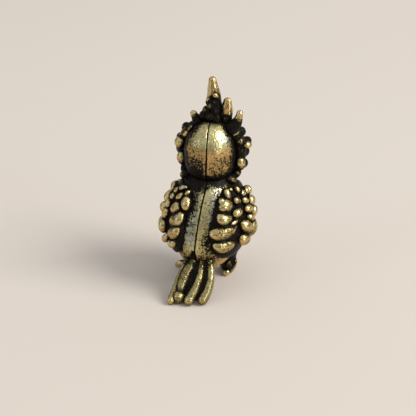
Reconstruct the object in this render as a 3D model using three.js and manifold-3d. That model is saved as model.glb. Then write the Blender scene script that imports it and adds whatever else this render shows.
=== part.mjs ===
// Antique brass owl figurine, cast in pieces and brazed together.
// Millimetres, +Z up. The owl stands on z = 0 and faces -Y, so +X is its own left side.
import * as THREE from "three";
import { mergeVertices } from "three/addons/utils/BufferGeometryUtils.js";
import Module from "manifold-3d";

const wasm = await Module();
wasm.setup();

// Fits
const seamGap = 0.1; // between the two halves of a shell, and at the neck joint
const seatGap = 0.15; // between a casting and the surface that it is brazed to
const pegGap = 0.15; // round each peg in its hole
const pegDepth = 1.1; // how far a peg reaches into the wall behind it
const pegRoot = 0.6; // how far a peg runs back into its own casting

// Body: an egg whose upper end leans forward, cut off at the neck
const bodyAxisY = -2.0;
const bodyHalfWidth = 6.0;
const bodyHalfDepth = 7.0;
const bodyMiddleZ = 10.6;
const bodyTopRise = 9.8;
const bodyBottomDrop = 8.0;
const bodyLean = 2.0;
const neckZ = 18.6;
const castWall = 1.6;
const neckWall = 1.6;

// Head: a barrel with a round crown, standing on the neck joint
const skullHalfWidth = 4.4;
const skullHalfDepth = 4.4;
const skullHalfHeight = 5.2;
const skullSink = 1.2; // how much of the skull the neck joint takes off
const skullBarrel = 3; // 2 is round below the middle, more is straighter
const headForward = 1.6;
const dowelRadius = 1.1;
const dowelReach = 2.3; // into the head and into the body
const seamPegRadius = 0.4;
const seamPegLength = 0.8;

// Wings: a plate wrapped round each flank, with rows of raised feathers
const wingAzimuth = 75; // degrees from straight back
const wingMiddleZ = 11.8;
const wingLength = 12.2;
const wingHeight = 11.4;
const wingSquareness = 3; // 2 makes the wing's outline an oval, more makes it squarer
const leftWingAhead = 2; // degrees that the left wing is set further forward
const wingRise = 0.7;
const wingSwell = 0.35; // how much thicker the wing is at its lower end
const shoulderDrop = 0.4; // how much lower the feathers stand at the top of the wing
const wingBelly = 0.6; // how much further out they stand where the bird is widest
const bellyStart = 45; // degrees from straight back
const bellyFull = 75;
const bellyUp = -0.15; // as a share of half the wing's height
const bellyReach = 0.8;
const wingRim = 4; // 2 rounds the plate off towards its rim, more keeps it thick
const drawnWrap = 12.2 / 13; // the wing's length over the body's width and depth in the feather lists
const drawnHeight = 11.4; // the wing's height in them
const featherSize = 2.0;
const featherThickness = 2.0;
const featherSink = 0.1;
const featherSwell = 0.1;
const longFeather = 1.3; // a feather longer than this, in feather sizes, has more faces
const wingPegRadius = 0.55;
const wingPegSpread = 3.0; // from the wing's middle to each peg

// Breast: a plate of the same make on the front
const breastMiddleZ = 11.2;
const breastLength = 7.6;
const breastHeight = 12.4;
const breastRise = 0.9;
const breastFeatherWidth = 1.75;
const breastFeatherHeight = 2.3;
const breastFeatherThickness = 1.25;
const breastFeatherLean = 9; // degrees that its lower end stands off
const breastRowStep = 1.55;
const breastRows = 7;
const breastSpread = 15.5; // degrees between the feathers of a row
const breastPegSpread = 2.0;

// Face: a cap over the front of the skull, edged with a collar of knobs
const maskHalfWidth = 5.9;
const maskHalfHeight = 5.4;
const maskHalfDepth = 4.3;
const maskForward = 0.9; // of the cap's middle, ahead of the skull's
const maskBack = 0.4; // of the cap's rear edge, ahead of the skull's middle
const ruffHalfWidth = 5.5; // to the middle of the outer knobs
const ruffHalfHeight = 4.5;
const ruffForward = 0.7;
const collarInside = 0.55; // of the collar's middle line, inside the knobs' oval
const collarForward = 0.5;
const collarWidth = 2.0;
const discRadius = 2.5;
const discThickness = 1.2;
const eyeRadius = 1.55;
const eyeSpread = 2.15;
const eyeRise = 1.2; // above the middle of the skull
const eyeProud = 0.75;
const pupilRadius = 0.6;
const pupilDepth = 0.35;
const rimThickness = 0.5;
const browWidth = 0.85;
const cheekWidth = 0.7;
const foreheadFeather = 1.4;
const foreheadRows = 3;
const chinFeather = 1.4;
const chinRows = 2;
const beakLength = 2.9;
const beakWidth = 1.5;
const beakThickness = 2.2;
const beakDrop = 0.9; // of its middle, below the middle of the skull

// Crest: two tufts pegged into the crown
const tallTuftHeight = 7.4;
const tallTuftRoot = 2.5;
const tallTuftTip = 1.4;
const tallTuftForward = 1.4;
const tallTuftBase = 3.4; // across the clump of scales at its foot
const shortTuftHeight = 4.9;
const shortTuftRoot = 1.9;
const shortTuftTip = 1.5;
const shortTuftAside = 2.1;
const shortTuftForward = 1.2;
const leftTuftAngle = 31;
const leftTuftHeight = 2.4;
const rightTuftAngle = 37;
const rightTuftHeight = 3.4;
const leftTuftRoot = 2.2;
const rightTuftRoot = 2.7;
const sideTuftTip = 1.05;
const tuftSink = 1.0; // how deep a tuft's root sits in the crown before it is trimmed
const tuftPegRadius = 0.5;
const scaleLength = 1.3;
const scaleWidth = 1.0;
const scaleRows = 6;
const scaleStep = 0.8;

// Tail: four ribs joined by a web, tenoned into the rump
const tailRootZ = 5.8;
const tailReach = 4.5; // from the rump back to the longest tip
const tailRootPitch = 1.3; // between ribs at the rump
const tailSag = 0.25; // how far the ribs sink between their ends
const tailWeb = 0.7;
const tenonWidth = 2.4;
const tenonHeight = 0.8;

// Feet: a leg stub with three front toes and a hind toe
const legAside = 3.1;
const legForward = 1.6;
const legTopWidth = 3.4;
const ankleWidth = 2.2;
const legPegRadius = 0.75;
const toeWidth = 1.4;
const frontToe = 3.0;
const hindToe = 2.2;
const toeSpread = 30; // degrees between front toes
const leftFootTurn = 54; // degrees outward
const rightFootTurn = -12;
const soleFlat = 0.12; // filed off under each toe and tail tip

// Each rib of the tail, from the owl's left: where its tip is aside, its length as a share of the reach, its widths,
// how deep its root lies under the rump's ribs, and how far its middle bows aside.
const tailRibs = [
  { aside: 3.35, length: 1.08, root: 1.0, tip: 1.35, sink: 0.45, bow: 0.5 },
  { aside: 2.25, length: 0.9, root: 1.6, tip: 1.95, sink: 0, bow: 0.5 },
  { aside: 0.4, length: 0.98, root: 1.25, tip: 1.6, sink: 0, bow: -0.45 },
  { aside: -1.75, length: 0.8, root: 1.25, tip: 1.6, sink: 0, bow: -0.55 },
];

// Each feather of a wing: degrees from straight back, its height over the wing's middle as a share of half the wing's
// height, its length and height in feather sizes, the degrees that its rear end is turned up, and its bend.
const leftFeathers = [
  [26, 0.85, 0.75, 0.5, 60, 0],
  [43, 0.9, 1.0, 0.45, 28, 0],
  [55, 0.77, 0.9, 0.55, 41, 0],
  [76, 0.7, 0.9, 0.75, 20, 0],
  [22.5, 0.63, 1.15, 0.95, 100, 0],
  [40, 0.71, 1.15, 0.55, 37, 0],
  [59, 0.58, 0.9, 0.55, 46, 0],
  [96, 0.58, 0.95, 0.8, 12, 0],
  [115, 0.46, 0.9, 0.8, 8, 0],
  [40, 0.41, 1.25, 1.0, 30, 0],
  [63.5, 0.34, 0.95, 0.7, 60, 0],
  [80, 0.39, 1.05, 0.85, 20, 0],
  [100, 0.25, 1.05, 0.85, 12, 0],
  [119, 0.11, 0.95, 0.8, 8, 0],
  [33.8, 0.15, 1.9, 1.1, 32, 0.25],
  [63, 0.09, 1.1, 0.7, 52, 0],
  [83, 0.07, 1.1, 0.85, 20, 0],
  [102, -0.11, 1.1, 0.9, 12, 0],
  [119, -0.25, 0.95, 0.8, 6, 0],
  [36, -0.2, 1.8, 1.0, 35, 0.25],
  [66, -0.26, 1.2, 0.95, 80, 0],
  [84, -0.35, 1.2, 0.95, 20, 0],
  [103, -0.47, 1.1, 0.85, 10, 0],
  [42, -0.54, 1.35, 0.75, 22, 0.1],
  [56, -0.49, 0.95, 0.6, 46, 0],
  [68, -0.63, 0.95, 0.65, 30, 0],
];
const rightFeathers = [
  [56, 0.92, 0.55, 0.4, 26, 0],
  [71.5, 0.84, 0.75, 0.5, 62, 0],
  [47.5, 0.84, 1.05, 0.68, 84, 0],
  [36, 0.71, 0.7, 0.65, 60, 0],
  [42, 0.6, 1.4, 1.1, 10, 0],
  [63.8, 0.6, 1.0, 0.65, 33, 0],
  [82, 0.68, 0.95, 0.65, 35, 0],
  [98, 0.63, 0.95, 0.75, 20, 0],
  [116, 0.49, 0.9, 0.8, 8, 0],
  [59.5, 0.34, 1.15, 0.75, 5, 0],
  [81.5, 0.49, 1.0, 0.58, 37, 0],
  [38.5, 0.27, 1.55, 0.95, 14, 0.3],
  [84, 0.25, 1.35, 0.65, 22, 0],
  [102, 0.33, 1.05, 0.8, 15, 0],
  [119, 0.16, 0.95, 0.8, 8, 0],
  [52, 0.13, 1.1, 0.4, -6, 0.1],
  [85, 0.02, 1.3, 0.63, 28, 0],
  [104, 0.04, 1.1, 0.8, 12, 0],
  [38.6, -0.07, 2.7, 1.05, -2, 0.3],
  [71.5, -0.09, 1.55, 0.95, 37, 0],
  [119, -0.19, 0.95, 0.8, 6, 0],
  [39.5, -0.44, 2.15, 1.0, 7, 0.2],
  [71.5, -0.42, 1.5, 0.95, 12, 0.15],
  [92, -0.3, 1.5, 1.05, 76, 0],
  [108, -0.51, 1.1, 0.85, 8, 0],
];

// Each knob of the ruff: degrees from straight up, its distance as a share of the ruff's oval, how far it lies behind
// the skull's middle, its length, width and depth, and how far its length is turned up from level.
const leftKnobs = [
  [41, 0.97, 0.1, 1.6, 1.1, 1.7, 132],
  [58, 0.93, 0.1, 1.8, 1.2, 1.8, 130],
  [80, 0.95, 0.1, 1.9, 1.9, 2.0, 0],
  [111, 0.94, 0.5, 2.7, 1.9, 2.0, 80],
  [129, 1.1, 0.4, 2.1, 1.6, 1.9, 110],
  [137, 1.15, 1.5, 2.3, 1.7, 1.9, 150],
  [56, 1.08, -1.5, 1.7, 1.5, 1.8, 140],
  [81, 1.03, -2.0, 1.8, 1.7, 1.9, 80],
  [100, 1.03, -1.6, 1.8, 1.7, 1.9, 90],
  [118, 1.13, -1.9, 1.8, 1.7, 1.9, 110],
  [138, 1.2, -1.9, 1.8, 1.6, 1.8, 140],
  [153, 1.2, -2.6, 1.8, 1.6, 1.7, 160],
];
const rightKnobs = [
  [52, 1.02, -0.2, 2.2, 1.1, 1.8, 147],
  [68, 0.99, -0.2, 1.9, 1.8, 1.9, 170],
  [80, 1.04, -0.8, 1.8, 1.6, 2.0, 20],
  [110, 0.98, -0.1, 2.9, 2.0, 2.1, 82],
  [130, 1.17, 0, 2.1, 1.6, 1.9, 120],
  [139, 1.17, 1.3, 2.3, 1.7, 1.9, 30],
  [57, 1.13, -1.6, 1.7, 1.5, 1.8, 40],
  [78, 1.07, -2.2, 1.8, 1.6, 1.9, 80],
  [94, 1.0, -1.6, 1.8, 1.7, 1.9, 90],
  [117, 1.11, -1.9, 1.8, 1.7, 1.9, 70],
  [138, 1.2, -1.9, 1.8, 1.6, 1.8, 40],
  [153, 1.2, -2.6, 1.8, 1.6, 1.7, 20],
];

const rad = THREE.MathUtils.degToRad;
const neckPlane = skullSink - skullHalfHeight; // in the head's own frame
const skullZ = neckZ - neckPlane;
const farOut = 60; // longer than the owl, for cutting boxes

// A closed geometry as a solid, each point moved by a function first.
function shaped(geometry, move = (p) => p) {
  const bare = geometry.clone();
  bare.deleteAttribute("normal");
  bare.deleteAttribute("uv");
  const points = bare.getAttribute("position");
  for (let i = 0; i < points.count; i++) {
    const moved = move(new THREE.Vector3().fromBufferAttribute(points, i));
    points.setXYZ(i, moved.x, moved.y, moved.z);
  }
  const merged = mergeVertices(bare, 1e-4);
  return new wasm.Manifold(
    new wasm.Mesh({
      numProp: 3,
      vertProperties: merged.getAttribute("position").array,
      triVerts: new Uint32Array(merged.index.array),
    }),
  );
}

const join = (...solids) => solids.reduce((a, b) => a.add(b));
const cut = (solid, ...tools) => tools.reduce((a, b) => a.subtract(b), solid);

// Leaves out crumbs that the neighbours' clearances cut loose.
const biggest = (solid) => solid.decompose().reduce((a, b) => (b.volume() > a.volume() ? b : a));

function box(width, depth, height, x, y, z) {
  return shaped(new THREE.BoxGeometry(width, depth, height).translate(x, y, z));
}

// A round bar between two points.
function bar(from, to, radius, sides = 10) {
  const along = to.clone().sub(from);
  const turn = new THREE.Quaternion().setFromUnitVectors(new THREE.Vector3(0, 1, 0), along.clone().normalize());
  const middle = from.clone().addScaledVector(along, 0.5);
  return shaped(
    new THREE.CylinderGeometry(radius, radius, along.length(), sides).applyQuaternion(turn).translate(...middle),
  );
}

// A rounded lump laid out by a place function of u, v and w. Its length runs along u, swell fattens its +u end and
// bend lifts both its ends along v.
function lump(place, length, height, thickness, swell = 0, around = 8, rings = 5, bend = 0) {
  return shaped(new THREE.SphereGeometry(1, around, rings).rotateZ(-Math.PI / 2), (p) => {
    const fat = 1 + swell * p.x;
    const v = (p.y * height * fat) / 2 + bend * p.x * p.x;
    return place((p.x * length) / 2, v, (p.z * thickness * fat) / 2);
  });
}

// A place function that only turns and moves: u points along a direction, v across it and w towards out.
function set(at, direction, out) {
  const u = direction.clone().normalize();
  const v = new THREE.Vector3().crossVectors(out, u).normalize();
  const w = new THREE.Vector3().crossVectors(u, v);
  return (a, b, c) => at.clone().addScaledVector(u, a).addScaledVector(v, b).addScaledVector(w, c);
}

const vec = (x, y, z) => new THREE.Vector3(x, y, z);

// Keeps what lies above or below a level.
const above = (solid, z) => cut(solid, box(farOut, farOut, farOut, 0, 0, z - farOut / 2));
const below = (solid, z) => cut(solid, box(farOut, farOut, farOut, 0, 0, z + farOut / 2));

// One half of a hollow piece: side +1 is the owl's left, -1 its right.
function halfOf(solid, side) {
  return cut(solid, box(farOut, farOut, farOut, (side * (seamGap - farOut)) / 2, 0, 0));
}

// The body, in a frame whose Z axis is the body's axis line

function egg(halfWidth, halfDepth, up, down, around = 32, rings = 20) {
  return shaped(new THREE.SphereGeometry(1, around, rings).rotateX(Math.PI / 2), (p) => {
    const rise = p.z * (p.z > 0 ? up : down);
    return vec(p.x * halfWidth, p.y * halfDepth - leanAt(bodyMiddleZ + rise), bodyMiddleZ + rise);
  });
}

function leanAt(z) {
  return (bodyLean * (z - bodyMiddleZ)) / bodyTopRise;
}

function bodyEgg(grow) {
  return egg(bodyHalfWidth + grow, bodyHalfDepth + grow, bodyTopRise + grow, bodyBottomDrop + grow);
}

// Half sizes of the body's level section, and the slope of its side there.
function bodySection(z) {
  const reach = z > bodyMiddleZ ? bodyTopRise : bodyBottomDrop;
  const t = THREE.MathUtils.clamp((z - bodyMiddleZ) / reach, -0.99, 0.99);
  const share = Math.sqrt(1 - t * t);
  const slope = (-t / share) * ((bodyHalfWidth + bodyHalfDepth) / 2 / reach);
  return { width: bodyHalfWidth * share, depth: bodyHalfDepth * share, slope, level: 1 / Math.hypot(1, slope) };
}

// A point on the body, or out from it. The azimuth is 0 straight back and positive towards the owl's left.
function bodyPoint(azimuth, z, out) {
  const { width, depth, slope, level } = bodySection(z);
  return vec(
    (width + out * level) * Math.sin(azimuth),
    (depth + out * level) * Math.cos(azimuth) - leanAt(z),
    z - out * slope * level,
  );
}

// A place function wrapped on the body: u runs to smaller azimuths, v up the body and w out of it.
function onBody(degrees, z, out, tilt = 0) {
  const { width, depth, level } = bodySection(z);
  const radius = (width + depth) / 2 + out;
  const turn = rad(tilt);
  return (u, v, w) => {
    const along = u * Math.cos(turn) - v * Math.sin(turn);
    const up = u * Math.sin(turn) + v * Math.cos(turn);
    return bodyPoint(rad(degrees) - along / radius, z + up * level, out + w);
  };
}

// The level of the body's underside below a point.
function undersideAt(x, y) {
  let z = bodyMiddleZ;
  for (let i = 0; i < 8; i++) {
    const share = Math.hypot(x / bodyHalfWidth, (y + leanAt(z)) / bodyHalfDepth);
    z = bodyMiddleZ - bodyBottomDrop * Math.sqrt(Math.max(0, 1 - share * share));
  }
  return z;
}

// A peg that stands level or upright in the body's wall, and the hole for it.
function wallPeg(at, inward, radius) {
  const end = at.clone().addScaledVector(inward, pegDepth);
  const root = at.clone().addScaledVector(inward, -pegRoot - seatGap);
  return {
    peg: bar(root, end, radius),
    hole: bar(root, end.clone().addScaledVector(inward, pegGap), radius + pegGap),
  };
}

const wingPegs = (side) =>
  [-1, 1].map((way) => {
    const z = wingMiddleZ + way * wingPegSpread;
    return wallPeg(bodyPoint(side * rad(90), z, 0), vec(-side, 0, 0), wingPegRadius);
  });

const breastPegs = [-1, 1].map((side) => {
  const azimuth = Math.PI - side * Math.asin(breastPegSpread / bodyHalfWidth);
  return wallPeg(bodyPoint(azimuth, breastMiddleZ, 0), vec(0, 1, 0), wingPegRadius);
});

const legPegs = (side) => {
  const x = side * legAside;
  return [wallPeg(vec(x, -legForward, undersideAt(x, -legForward)), vec(0, 0, 1), legPegRadius)];
};

// The rump is where the tail's tenon goes in.
const rumpY = bodyPoint(0, tailRootZ, 0).y;
const tailRoot = vec(0, rumpY, tailRootZ);
const tailTipY = rumpY + tailReach;
const tenonBox = (gap) =>
  box(tenonWidth + 2 * gap, castWall + pegRoot + 2 * gap, tenonHeight + 2 * gap, 0, rumpY - castWall / 2, tailRootZ);

const dowelY = -headForward;
const neckDowel = (gap, reach) => bar(vec(0, dowelY, neckZ - reach), vec(0, dowelY, neckZ + reach), dowelRadius + gap, 14);

// Pegs on the seam face of the left halves, and their holes in the right ones.
function seamPegs(spots, gap) {
  return spots.map(([y, z]) => bar(vec(-seamPegLength - gap, y, z), vec(pegRoot, y, z), seamPegRadius + gap, 8));
}

function bodyShell(side) {
  const cavity = egg(
    bodyHalfWidth - castWall,
    bodyHalfDepth - castWall,
    neckZ - neckWall - bodyMiddleZ,
    bodyBottomDrop - castWall,
    16,
    10,
  );
  const hollow = cut(below(bodyEgg(0), neckZ), cavity, neckDowel(pegGap, dowelReach + pegGap), tenonBox(pegGap));
  const holes = [...wingPegs(side), ...breastPegs, ...legPegs(side)].map((p) => p.hole);
  const half = halfOf(cut(hollow, ...holes), side);
  const middleOfWall = bodyHalfDepth - castWall / 2;
  const spots = [
    [middleOfWall, bodyMiddleZ],
    [-middleOfWall, bodyMiddleZ],
  ];
  return side > 0 ? join(half, ...seamPegs(spots, 0)) : cut(half, ...seamPegs(spots, pegGap));
}

// The feathers on one flank.
function wingFeathers(side, feathers) {
  const stretch = wingLength / (bodyHalfWidth + bodyHalfDepth) / drawnWrap - 1;
  return feathers.map(([drawn, up, long, high, tilt, bend]) => {
    const azimuth = drawn + (drawn - wingAt(side)) * stretch;
    const height = (featherSize * high * wingHeight) / drawnHeight;
    const thickness = Math.min(featherThickness, featherThickness * 0.375 + 0.7 * height);
    const z = wingMiddleZ + (up * wingHeight) / 2;
    const place = onBody(side * azimuth, z, wingSurface(side, azimuth, up) - featherSink, side * tilt);
    const rings = long > longFeather ? 8 : 5;
    return lump(place, featherSize * long, height, thickness, side * featherSwell, rings + 2, rings, bend);
  });
}

// Distance from the middle of a wing's outline, 1 being its edge.
function wingSpan(along, down) {
  return (Math.abs(along) ** wingSquareness + Math.abs(down) ** wingSquareness) ** (1 / wingSquareness);
}

const wingAt = (side) => wingAzimuth + (side > 0 ? leftWingAhead : 0);

// How far out of the body a feather's middle is.
function wingSurface(side, azimuth, up) {
  const along = (rad(azimuth - wingAt(side)) * (bodyHalfWidth + bodyHalfDepth)) / wingLength;
  const dome = Math.max(0, 1 - wingSpan(along, up) ** wingRim) ** (1 / wingRim);
  const round = Math.max(0, 1 - ((up - bellyUp) / bellyReach) ** 2);
  const belly = wingBelly * round * THREE.MathUtils.smoothstep(azimuth, bellyStart, bellyFull);
  return Math.max(featherThickness / 2, wingRise * (1 - wingSwell * up) * dome) + belly - shoulderDrop * Math.max(0, up);
}

function wingPlate(side) {
  const place = onBody(side * wingAt(side), wingMiddleZ, 0);
  return shaped(new THREE.SphereGeometry(1, 24, 12).rotateX(Math.PI / 2), (p) => {
    const out = Math.hypot(p.x, p.y);
    const square = out / Math.max(wingSpan(p.x, p.y), 1e-6);
    const dome = Math.sign(p.z) * Math.max(0, 1 - out ** wingRim) ** (1 / wingRim);
    const belly = (wingBelly / 2) * (1 - side * p.x) * Math.max(0, 1 - p.y * p.y) * Math.max(0, 1 - out);
    const rise = (wingRise * (1 - wingSwell * p.y) + belly) * dome;
    return place((p.x * square * wingLength) / 2, (p.y * square * wingHeight) / 2, rise);
  });
}

function wing(side, feathers) {
  const trimmed = cut(join(wingPlate(side), ...wingFeathers(side, feathers)), bodyEgg(seatGap));
  return join(trimmed, ...wingPegs(side).map((p) => p.peg));
}

function breastPlate() {
  const plate = lump(onBody(180, breastMiddleZ, 0), breastLength, breastHeight, 2 * breastRise, 0, 14, 8);
  const size = [breastFeatherHeight, breastFeatherWidth, breastFeatherThickness];
  const feathers = [];
  for (let row = 0; row < breastRows; row++) {
    const z = breastMiddleZ + (row - (breastRows - 1) / 2) * breastRowStep;
    const up = (2 * (z - breastMiddleZ)) / breastHeight;
    const across = row % 2 ? 3 : row > 0 && row < breastRows - 1 ? 4 : 2;
    for (let i = 0; i < across; i++) {
      const degrees = 180 + (i - (across - 1) / 2) * breastSpread;
      const out = breastRise * Math.sqrt(1 - up * up) - featherSink;
      const place = onBody(degrees, z, out, -90); // u runs down the body
      const leaning = (u, v, w) => place(u, v, w + u * Math.tan(rad(breastFeatherLean)));
      feathers.push(lump(leaning, ...size, featherSwell, 6, 4));
    }
  }
  const trimmed = cut(join(plate, ...feathers), bodyEgg(seatGap));
  return join(trimmed, ...breastPegs.map((p) => p.peg));
}

function tail() {
  const ribs = tailRibs.flatMap(({ aside, length, root, tip, sink, bow }, i) => {
    const start = vec(((tailRibs.length - 1) / 2 - i) * tailRootPitch, rumpY, tailRootZ - sink);
    const end = vec(aside, rumpY + tailReach * length, tip / 2);
    const middle = start.clone().lerp(end, 0.5).add(vec(bow, 0, -tailSag));
    const middleWidth = (root + tip) / 2;
    return [taper(start, middle, root, middleWidth, 0, 8), taper(middle, end, middleWidth, tip, 0, 8)];
  });
  const widest = tailRibs[0].aside - tailRibs[tailRibs.length - 1].aside;
  const webEnd = vec(widest / 2 + tailRibs[tailRibs.length - 1].aside, tailTipY - tailRibs[1].tip, tailWeb);
  const web = plateBetween(tailRoot, webEnd, 3 * tailRootPitch, widest * 0.8, tailWeb);
  const trimmed = above(cut(join(web, ...ribs), bodyEgg(seatGap)), soleFlat).translate(0, 0, -soleFlat);
  return join(trimmed, tenonBox(0).translate(0, pegRoot / 2, -soleFlat));
}

// A round bar with round ends, its width changing evenly from one end to the other. Grow makes it bigger all over.
function taper(root, tip, rootWidth, tipWidth, grow = 0, sides = 10) {
  const along = tip.clone().sub(root);
  const length = along.length();
  const middle = root.clone().addScaledVector(along, 0.5);
  const place = set(middle, along, vec(0, 0.5, 1));
  const capsule = new THREE.CapsuleGeometry(1, length, 4, sides, 2).rotateZ(-Math.PI / 2);
  return shaped(capsule, (p) => {
    const share = THREE.MathUtils.clamp(p.x / length + 0.5, 0, 1);
    const radius = (rootWidth + (tipWidth - rootWidth) * share) / 2 + grow;
    const core = (share - 0.5) * length;
    return place(core + (p.x - core) * radius, p.y * radius, p.z * radius);
  });
}

// A flat plate from one point to another, with its own width at each end.
function plateBetween(root, tip, rootWidth, tipWidth, thickness) {
  const along = tip.clone().sub(root);
  const middle = root.clone().addScaledVector(along, 0.5);
  const place = set(middle, along, vec(0, 0.5, 1));
  return shaped(new THREE.BoxGeometry(1, 1, 1), (p) =>
    place(p.x * along.length(), p.y * (p.x > 0 ? tipWidth : rootWidth), p.z * thickness),
  );
}

function foot(side, footTurn) {
  const x = side * legAside;
  const ankle = vec(x, -legForward, toeWidth * 0.6);
  const under = undersideAt(x, -legForward);
  const toes = [-1, 0, 1, 6].map((i) => {
    const hind = i === 6;
    const turn = rad(hind ? 180 : i * toeSpread + side * footTurn);
    const way = vec(Math.sin(turn), -Math.cos(turn), 0);
    const length = hind ? hindToe : frontToe;
    const centre = ankle.clone().addScaledVector(way, length / 2 - toeWidth * 0.3);
    centre.z = toeWidth / 2;
    return lump(set(centre, way, vec(0, 0, 1)), length, toeWidth, toeWidth, featherSwell, 8, 6);
  });
  const leg = taper(ankle.clone().setZ(ankleWidth / 2), vec(x, -legForward, under), ankleWidth, legTopWidth, 0, 10);
  const trimmed = above(cut(join(leg, ...toes), bodyEgg(seatGap)), soleFlat).translate(0, 0, -soleFlat);
  return join(trimmed, ...legPegs(side).map((p) => p.peg.translate(0, 0, -soleFlat)));
}

// The head, in a frame at the middle of the skull

function ball(halfWidth, halfDepth, halfHeight, around = 20, rings = 12, barrel = 2) {
  return shaped(new THREE.SphereGeometry(1, around, rings).rotateX(Math.PI / 2), (p) => {
    const level = Math.hypot(p.x, p.y);
    const wide = p.z < 0 && level > 0.01 ? (1 - (-p.z) ** barrel) ** (1 / barrel) / level : 1;
    return vec(p.x * wide * halfWidth, p.y * wide * halfDepth, p.z * halfHeight);
  });
}

function skull(grow, around = 28, rings = 18) {
  return ball(skullHalfWidth + grow, skullHalfDepth + grow, skullHalfHeight + grow, around, rings, skullBarrel);
}

// A point of the skull above a place on its plan.
function crownAt(x, y) {
  return vec(x, y, skullHalfHeight * Math.sqrt(1 - (x / skullHalfWidth) ** 2 - (y / skullHalfDepth) ** 2));
}

const toHead = (solid) => solid.translate(0, headForward, -skullZ);

function tuftPeg(root) {
  const top = root.clone().add(vec(0, 0, pegRoot + seatGap));
  const end = root.clone().add(vec(0, 0, -pegDepth));
  return {
    peg: bar(top, end, tuftPegRadius),
    hole: bar(top, end.clone().add(vec(0, 0, -pegGap)), tuftPegRadius + pegGap),
  };
}

const tallRoot = crownAt(0, -tallTuftForward);
const shortRoot = crownAt(-shortTuftAside, -shortTuftForward);
const tallPeg = tuftPeg(tallRoot);
const shortPeg = tuftPeg(shortRoot);

function headShell(side) {
  const cavity = above(skull(-castWall, 14, 8), neckPlane + neckWall);
  const dowelHole = toHead(neckDowel(pegGap, dowelReach + pegGap));
  const whole = cut(above(skull(0), neckPlane + seamGap), cavity, dowelHole, tallPeg.hole, shortPeg.hole);
  const half = halfOf(whole, side);
  const spots = [[skullHalfDepth - castWall / 2, 0]];
  return side > 0 ? join(half, ...seamPegs(spots, 0)) : cut(half, ...seamPegs(spots, pegGap));
}

// The face's surface ahead of a place on it, or out from it.
function facePoint(x, z, out = 0) {
  const share = 1 - (x / maskHalfWidth) ** 2 - (z / maskHalfHeight) ** 2;
  return vec(x, -maskForward - (maskHalfDepth + out) * Math.sqrt(Math.max(0, share)), z);
}

const eyeCentre = (side) => facePoint(side * eyeSpread, eyeRise);
const eyeWay = (side) => vec(side * 0.28, -1, 0.08).normalize();

function eyeLump(side, grow) {
  const place = set(eyeCentre(side), eyeWay(side), vec(0, 0, 1));
  return lump(place, 2 * (eyeProud + grow), 2 * (eyeRadius + grow), 2 * (eyeRadius + grow), 0, 12, 6);
}

function eye(side) {
  const pupilAt = eyeCentre(side).addScaledVector(eyeWay(side), eyeProud + pupilRadius - pupilDepth);
  const pupil = ball(pupilRadius, pupilRadius, pupilRadius, 10, 6).translate(...pupilAt);
  return cut(eyeLump(side, 0), pupil, skull(seatGap));
}

function beakLump(grow) {
  const at = facePoint(0, -beakDrop);
  const place = set(at, vec(0, -0.25, -1), vec(0, -1, 0));
  return lump(place, beakLength + 2 * grow, beakWidth + 2 * grow, beakThickness + 2 * grow, -0.35, 12, 8);
}

const beak = () => cut(beakLump(0), skull(seatGap));

// The ruff is an oval round the skull. A share of 1 is on it.
function ruffPoint(side, angle, share, back) {
  const way = vec(side * Math.sin(angle), 0, Math.cos(angle));
  const radius = share / Math.hypot(way.x / ruffHalfWidth, way.z / ruffHalfHeight);
  return { way, at: way.clone().multiplyScalar(radius).add(vec(0, back, 0)) };
}

function ruffKnobs(side, knobs) {
  return knobs.map(([degrees, share, back, length, width, depth, turn]) => {
    const { at } = ruffPoint(side, rad(degrees), share, back);
    const way = vec(Math.cos(rad(turn)), 0, Math.sin(rad(turn)));
    return lump(set(at, way, vec(0, 1, 0)), length, width, depth, 0, 6, 4);
  });
}

// The band that carries the knobs.
function collar() {
  return shaped(new THREE.TorusGeometry(collarWidth, collarWidth / 2, 6, 22), (p) => {
    const angle = Math.atan2(p.x, p.y);
    const out = Math.hypot(p.x, p.y) - collarWidth;
    const aside = (ruffHalfWidth - collarInside + out) * Math.sin(angle);
    return vec(aside, -p.z - collarForward, (ruffHalfHeight + out) * Math.cos(angle));
  });
}

// A tuft that stands on the crown, leaning as its way says.
function tuft(root, way, height, rootWidth, tipWidth, grow) {
  const from = root.clone().addScaledVector(way, rootWidth / 2 - tuftSink);
  const to = root.clone().addScaledVector(way, height - tipWidth / 2);
  return taper(from, to, rootWidth, tipWidth, grow, 10);
}

const tallWay = vec(0.02, -0.06, 1).normalize();
const shortWay = vec(-0.06, -0.04, 1).normalize();
const tallHorn = (grow) => tuft(tallRoot, tallWay, tallTuftHeight, tallTuftRoot, tallTuftTip, grow);
const shortHorn = (grow) => tuft(shortRoot, shortWay, shortTuftHeight, shortTuftRoot, shortTuftTip, grow);

// The clump at the foot of the tall tuft, and the small scales that climb its back from side to side.
function tuftScales(grow) {
  const scales = Array.from({ length: scaleRows }, (_, i) => {
    const aside = (i % 2 ? -0.6 : 0.6) * (1 - i * 0.08);
    const at = vec(aside, 0.75 - i * 0.16 - tallTuftForward, tallRoot.z + 0.3 + i * scaleStep);
    const place = set(at, vec(aside * 0.5, 0.5, 1), vec(0, 1, 0));
    return lump(place, scaleLength + 2 * grow, scaleWidth + 2 * grow, scaleWidth + 2 * grow, featherSwell, 8, 5);
  });
  const clump = vec(0.2, -tallTuftForward, tallRoot.z + 0.3);
  const size = tallTuftBase + 2 * grow;
  return [...scales, lump(set(clump, vec(1, 0, 0), vec(0, 0, 1)), size, size * 0.8, size * 0.75, 0, 8, 6)];
}

function tallTuft() {
  return join(cut(join(tallHorn(0), ...tuftScales(0)), skull(seatGap)), tallPeg.peg);
}

function shortTuft() {
  const clear = cut(shortHorn(0), skull(seatGap), tallHorn(seatGap), ...tuftScales(seatGap));
  return join(clear, shortPeg.peg);
}

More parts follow.
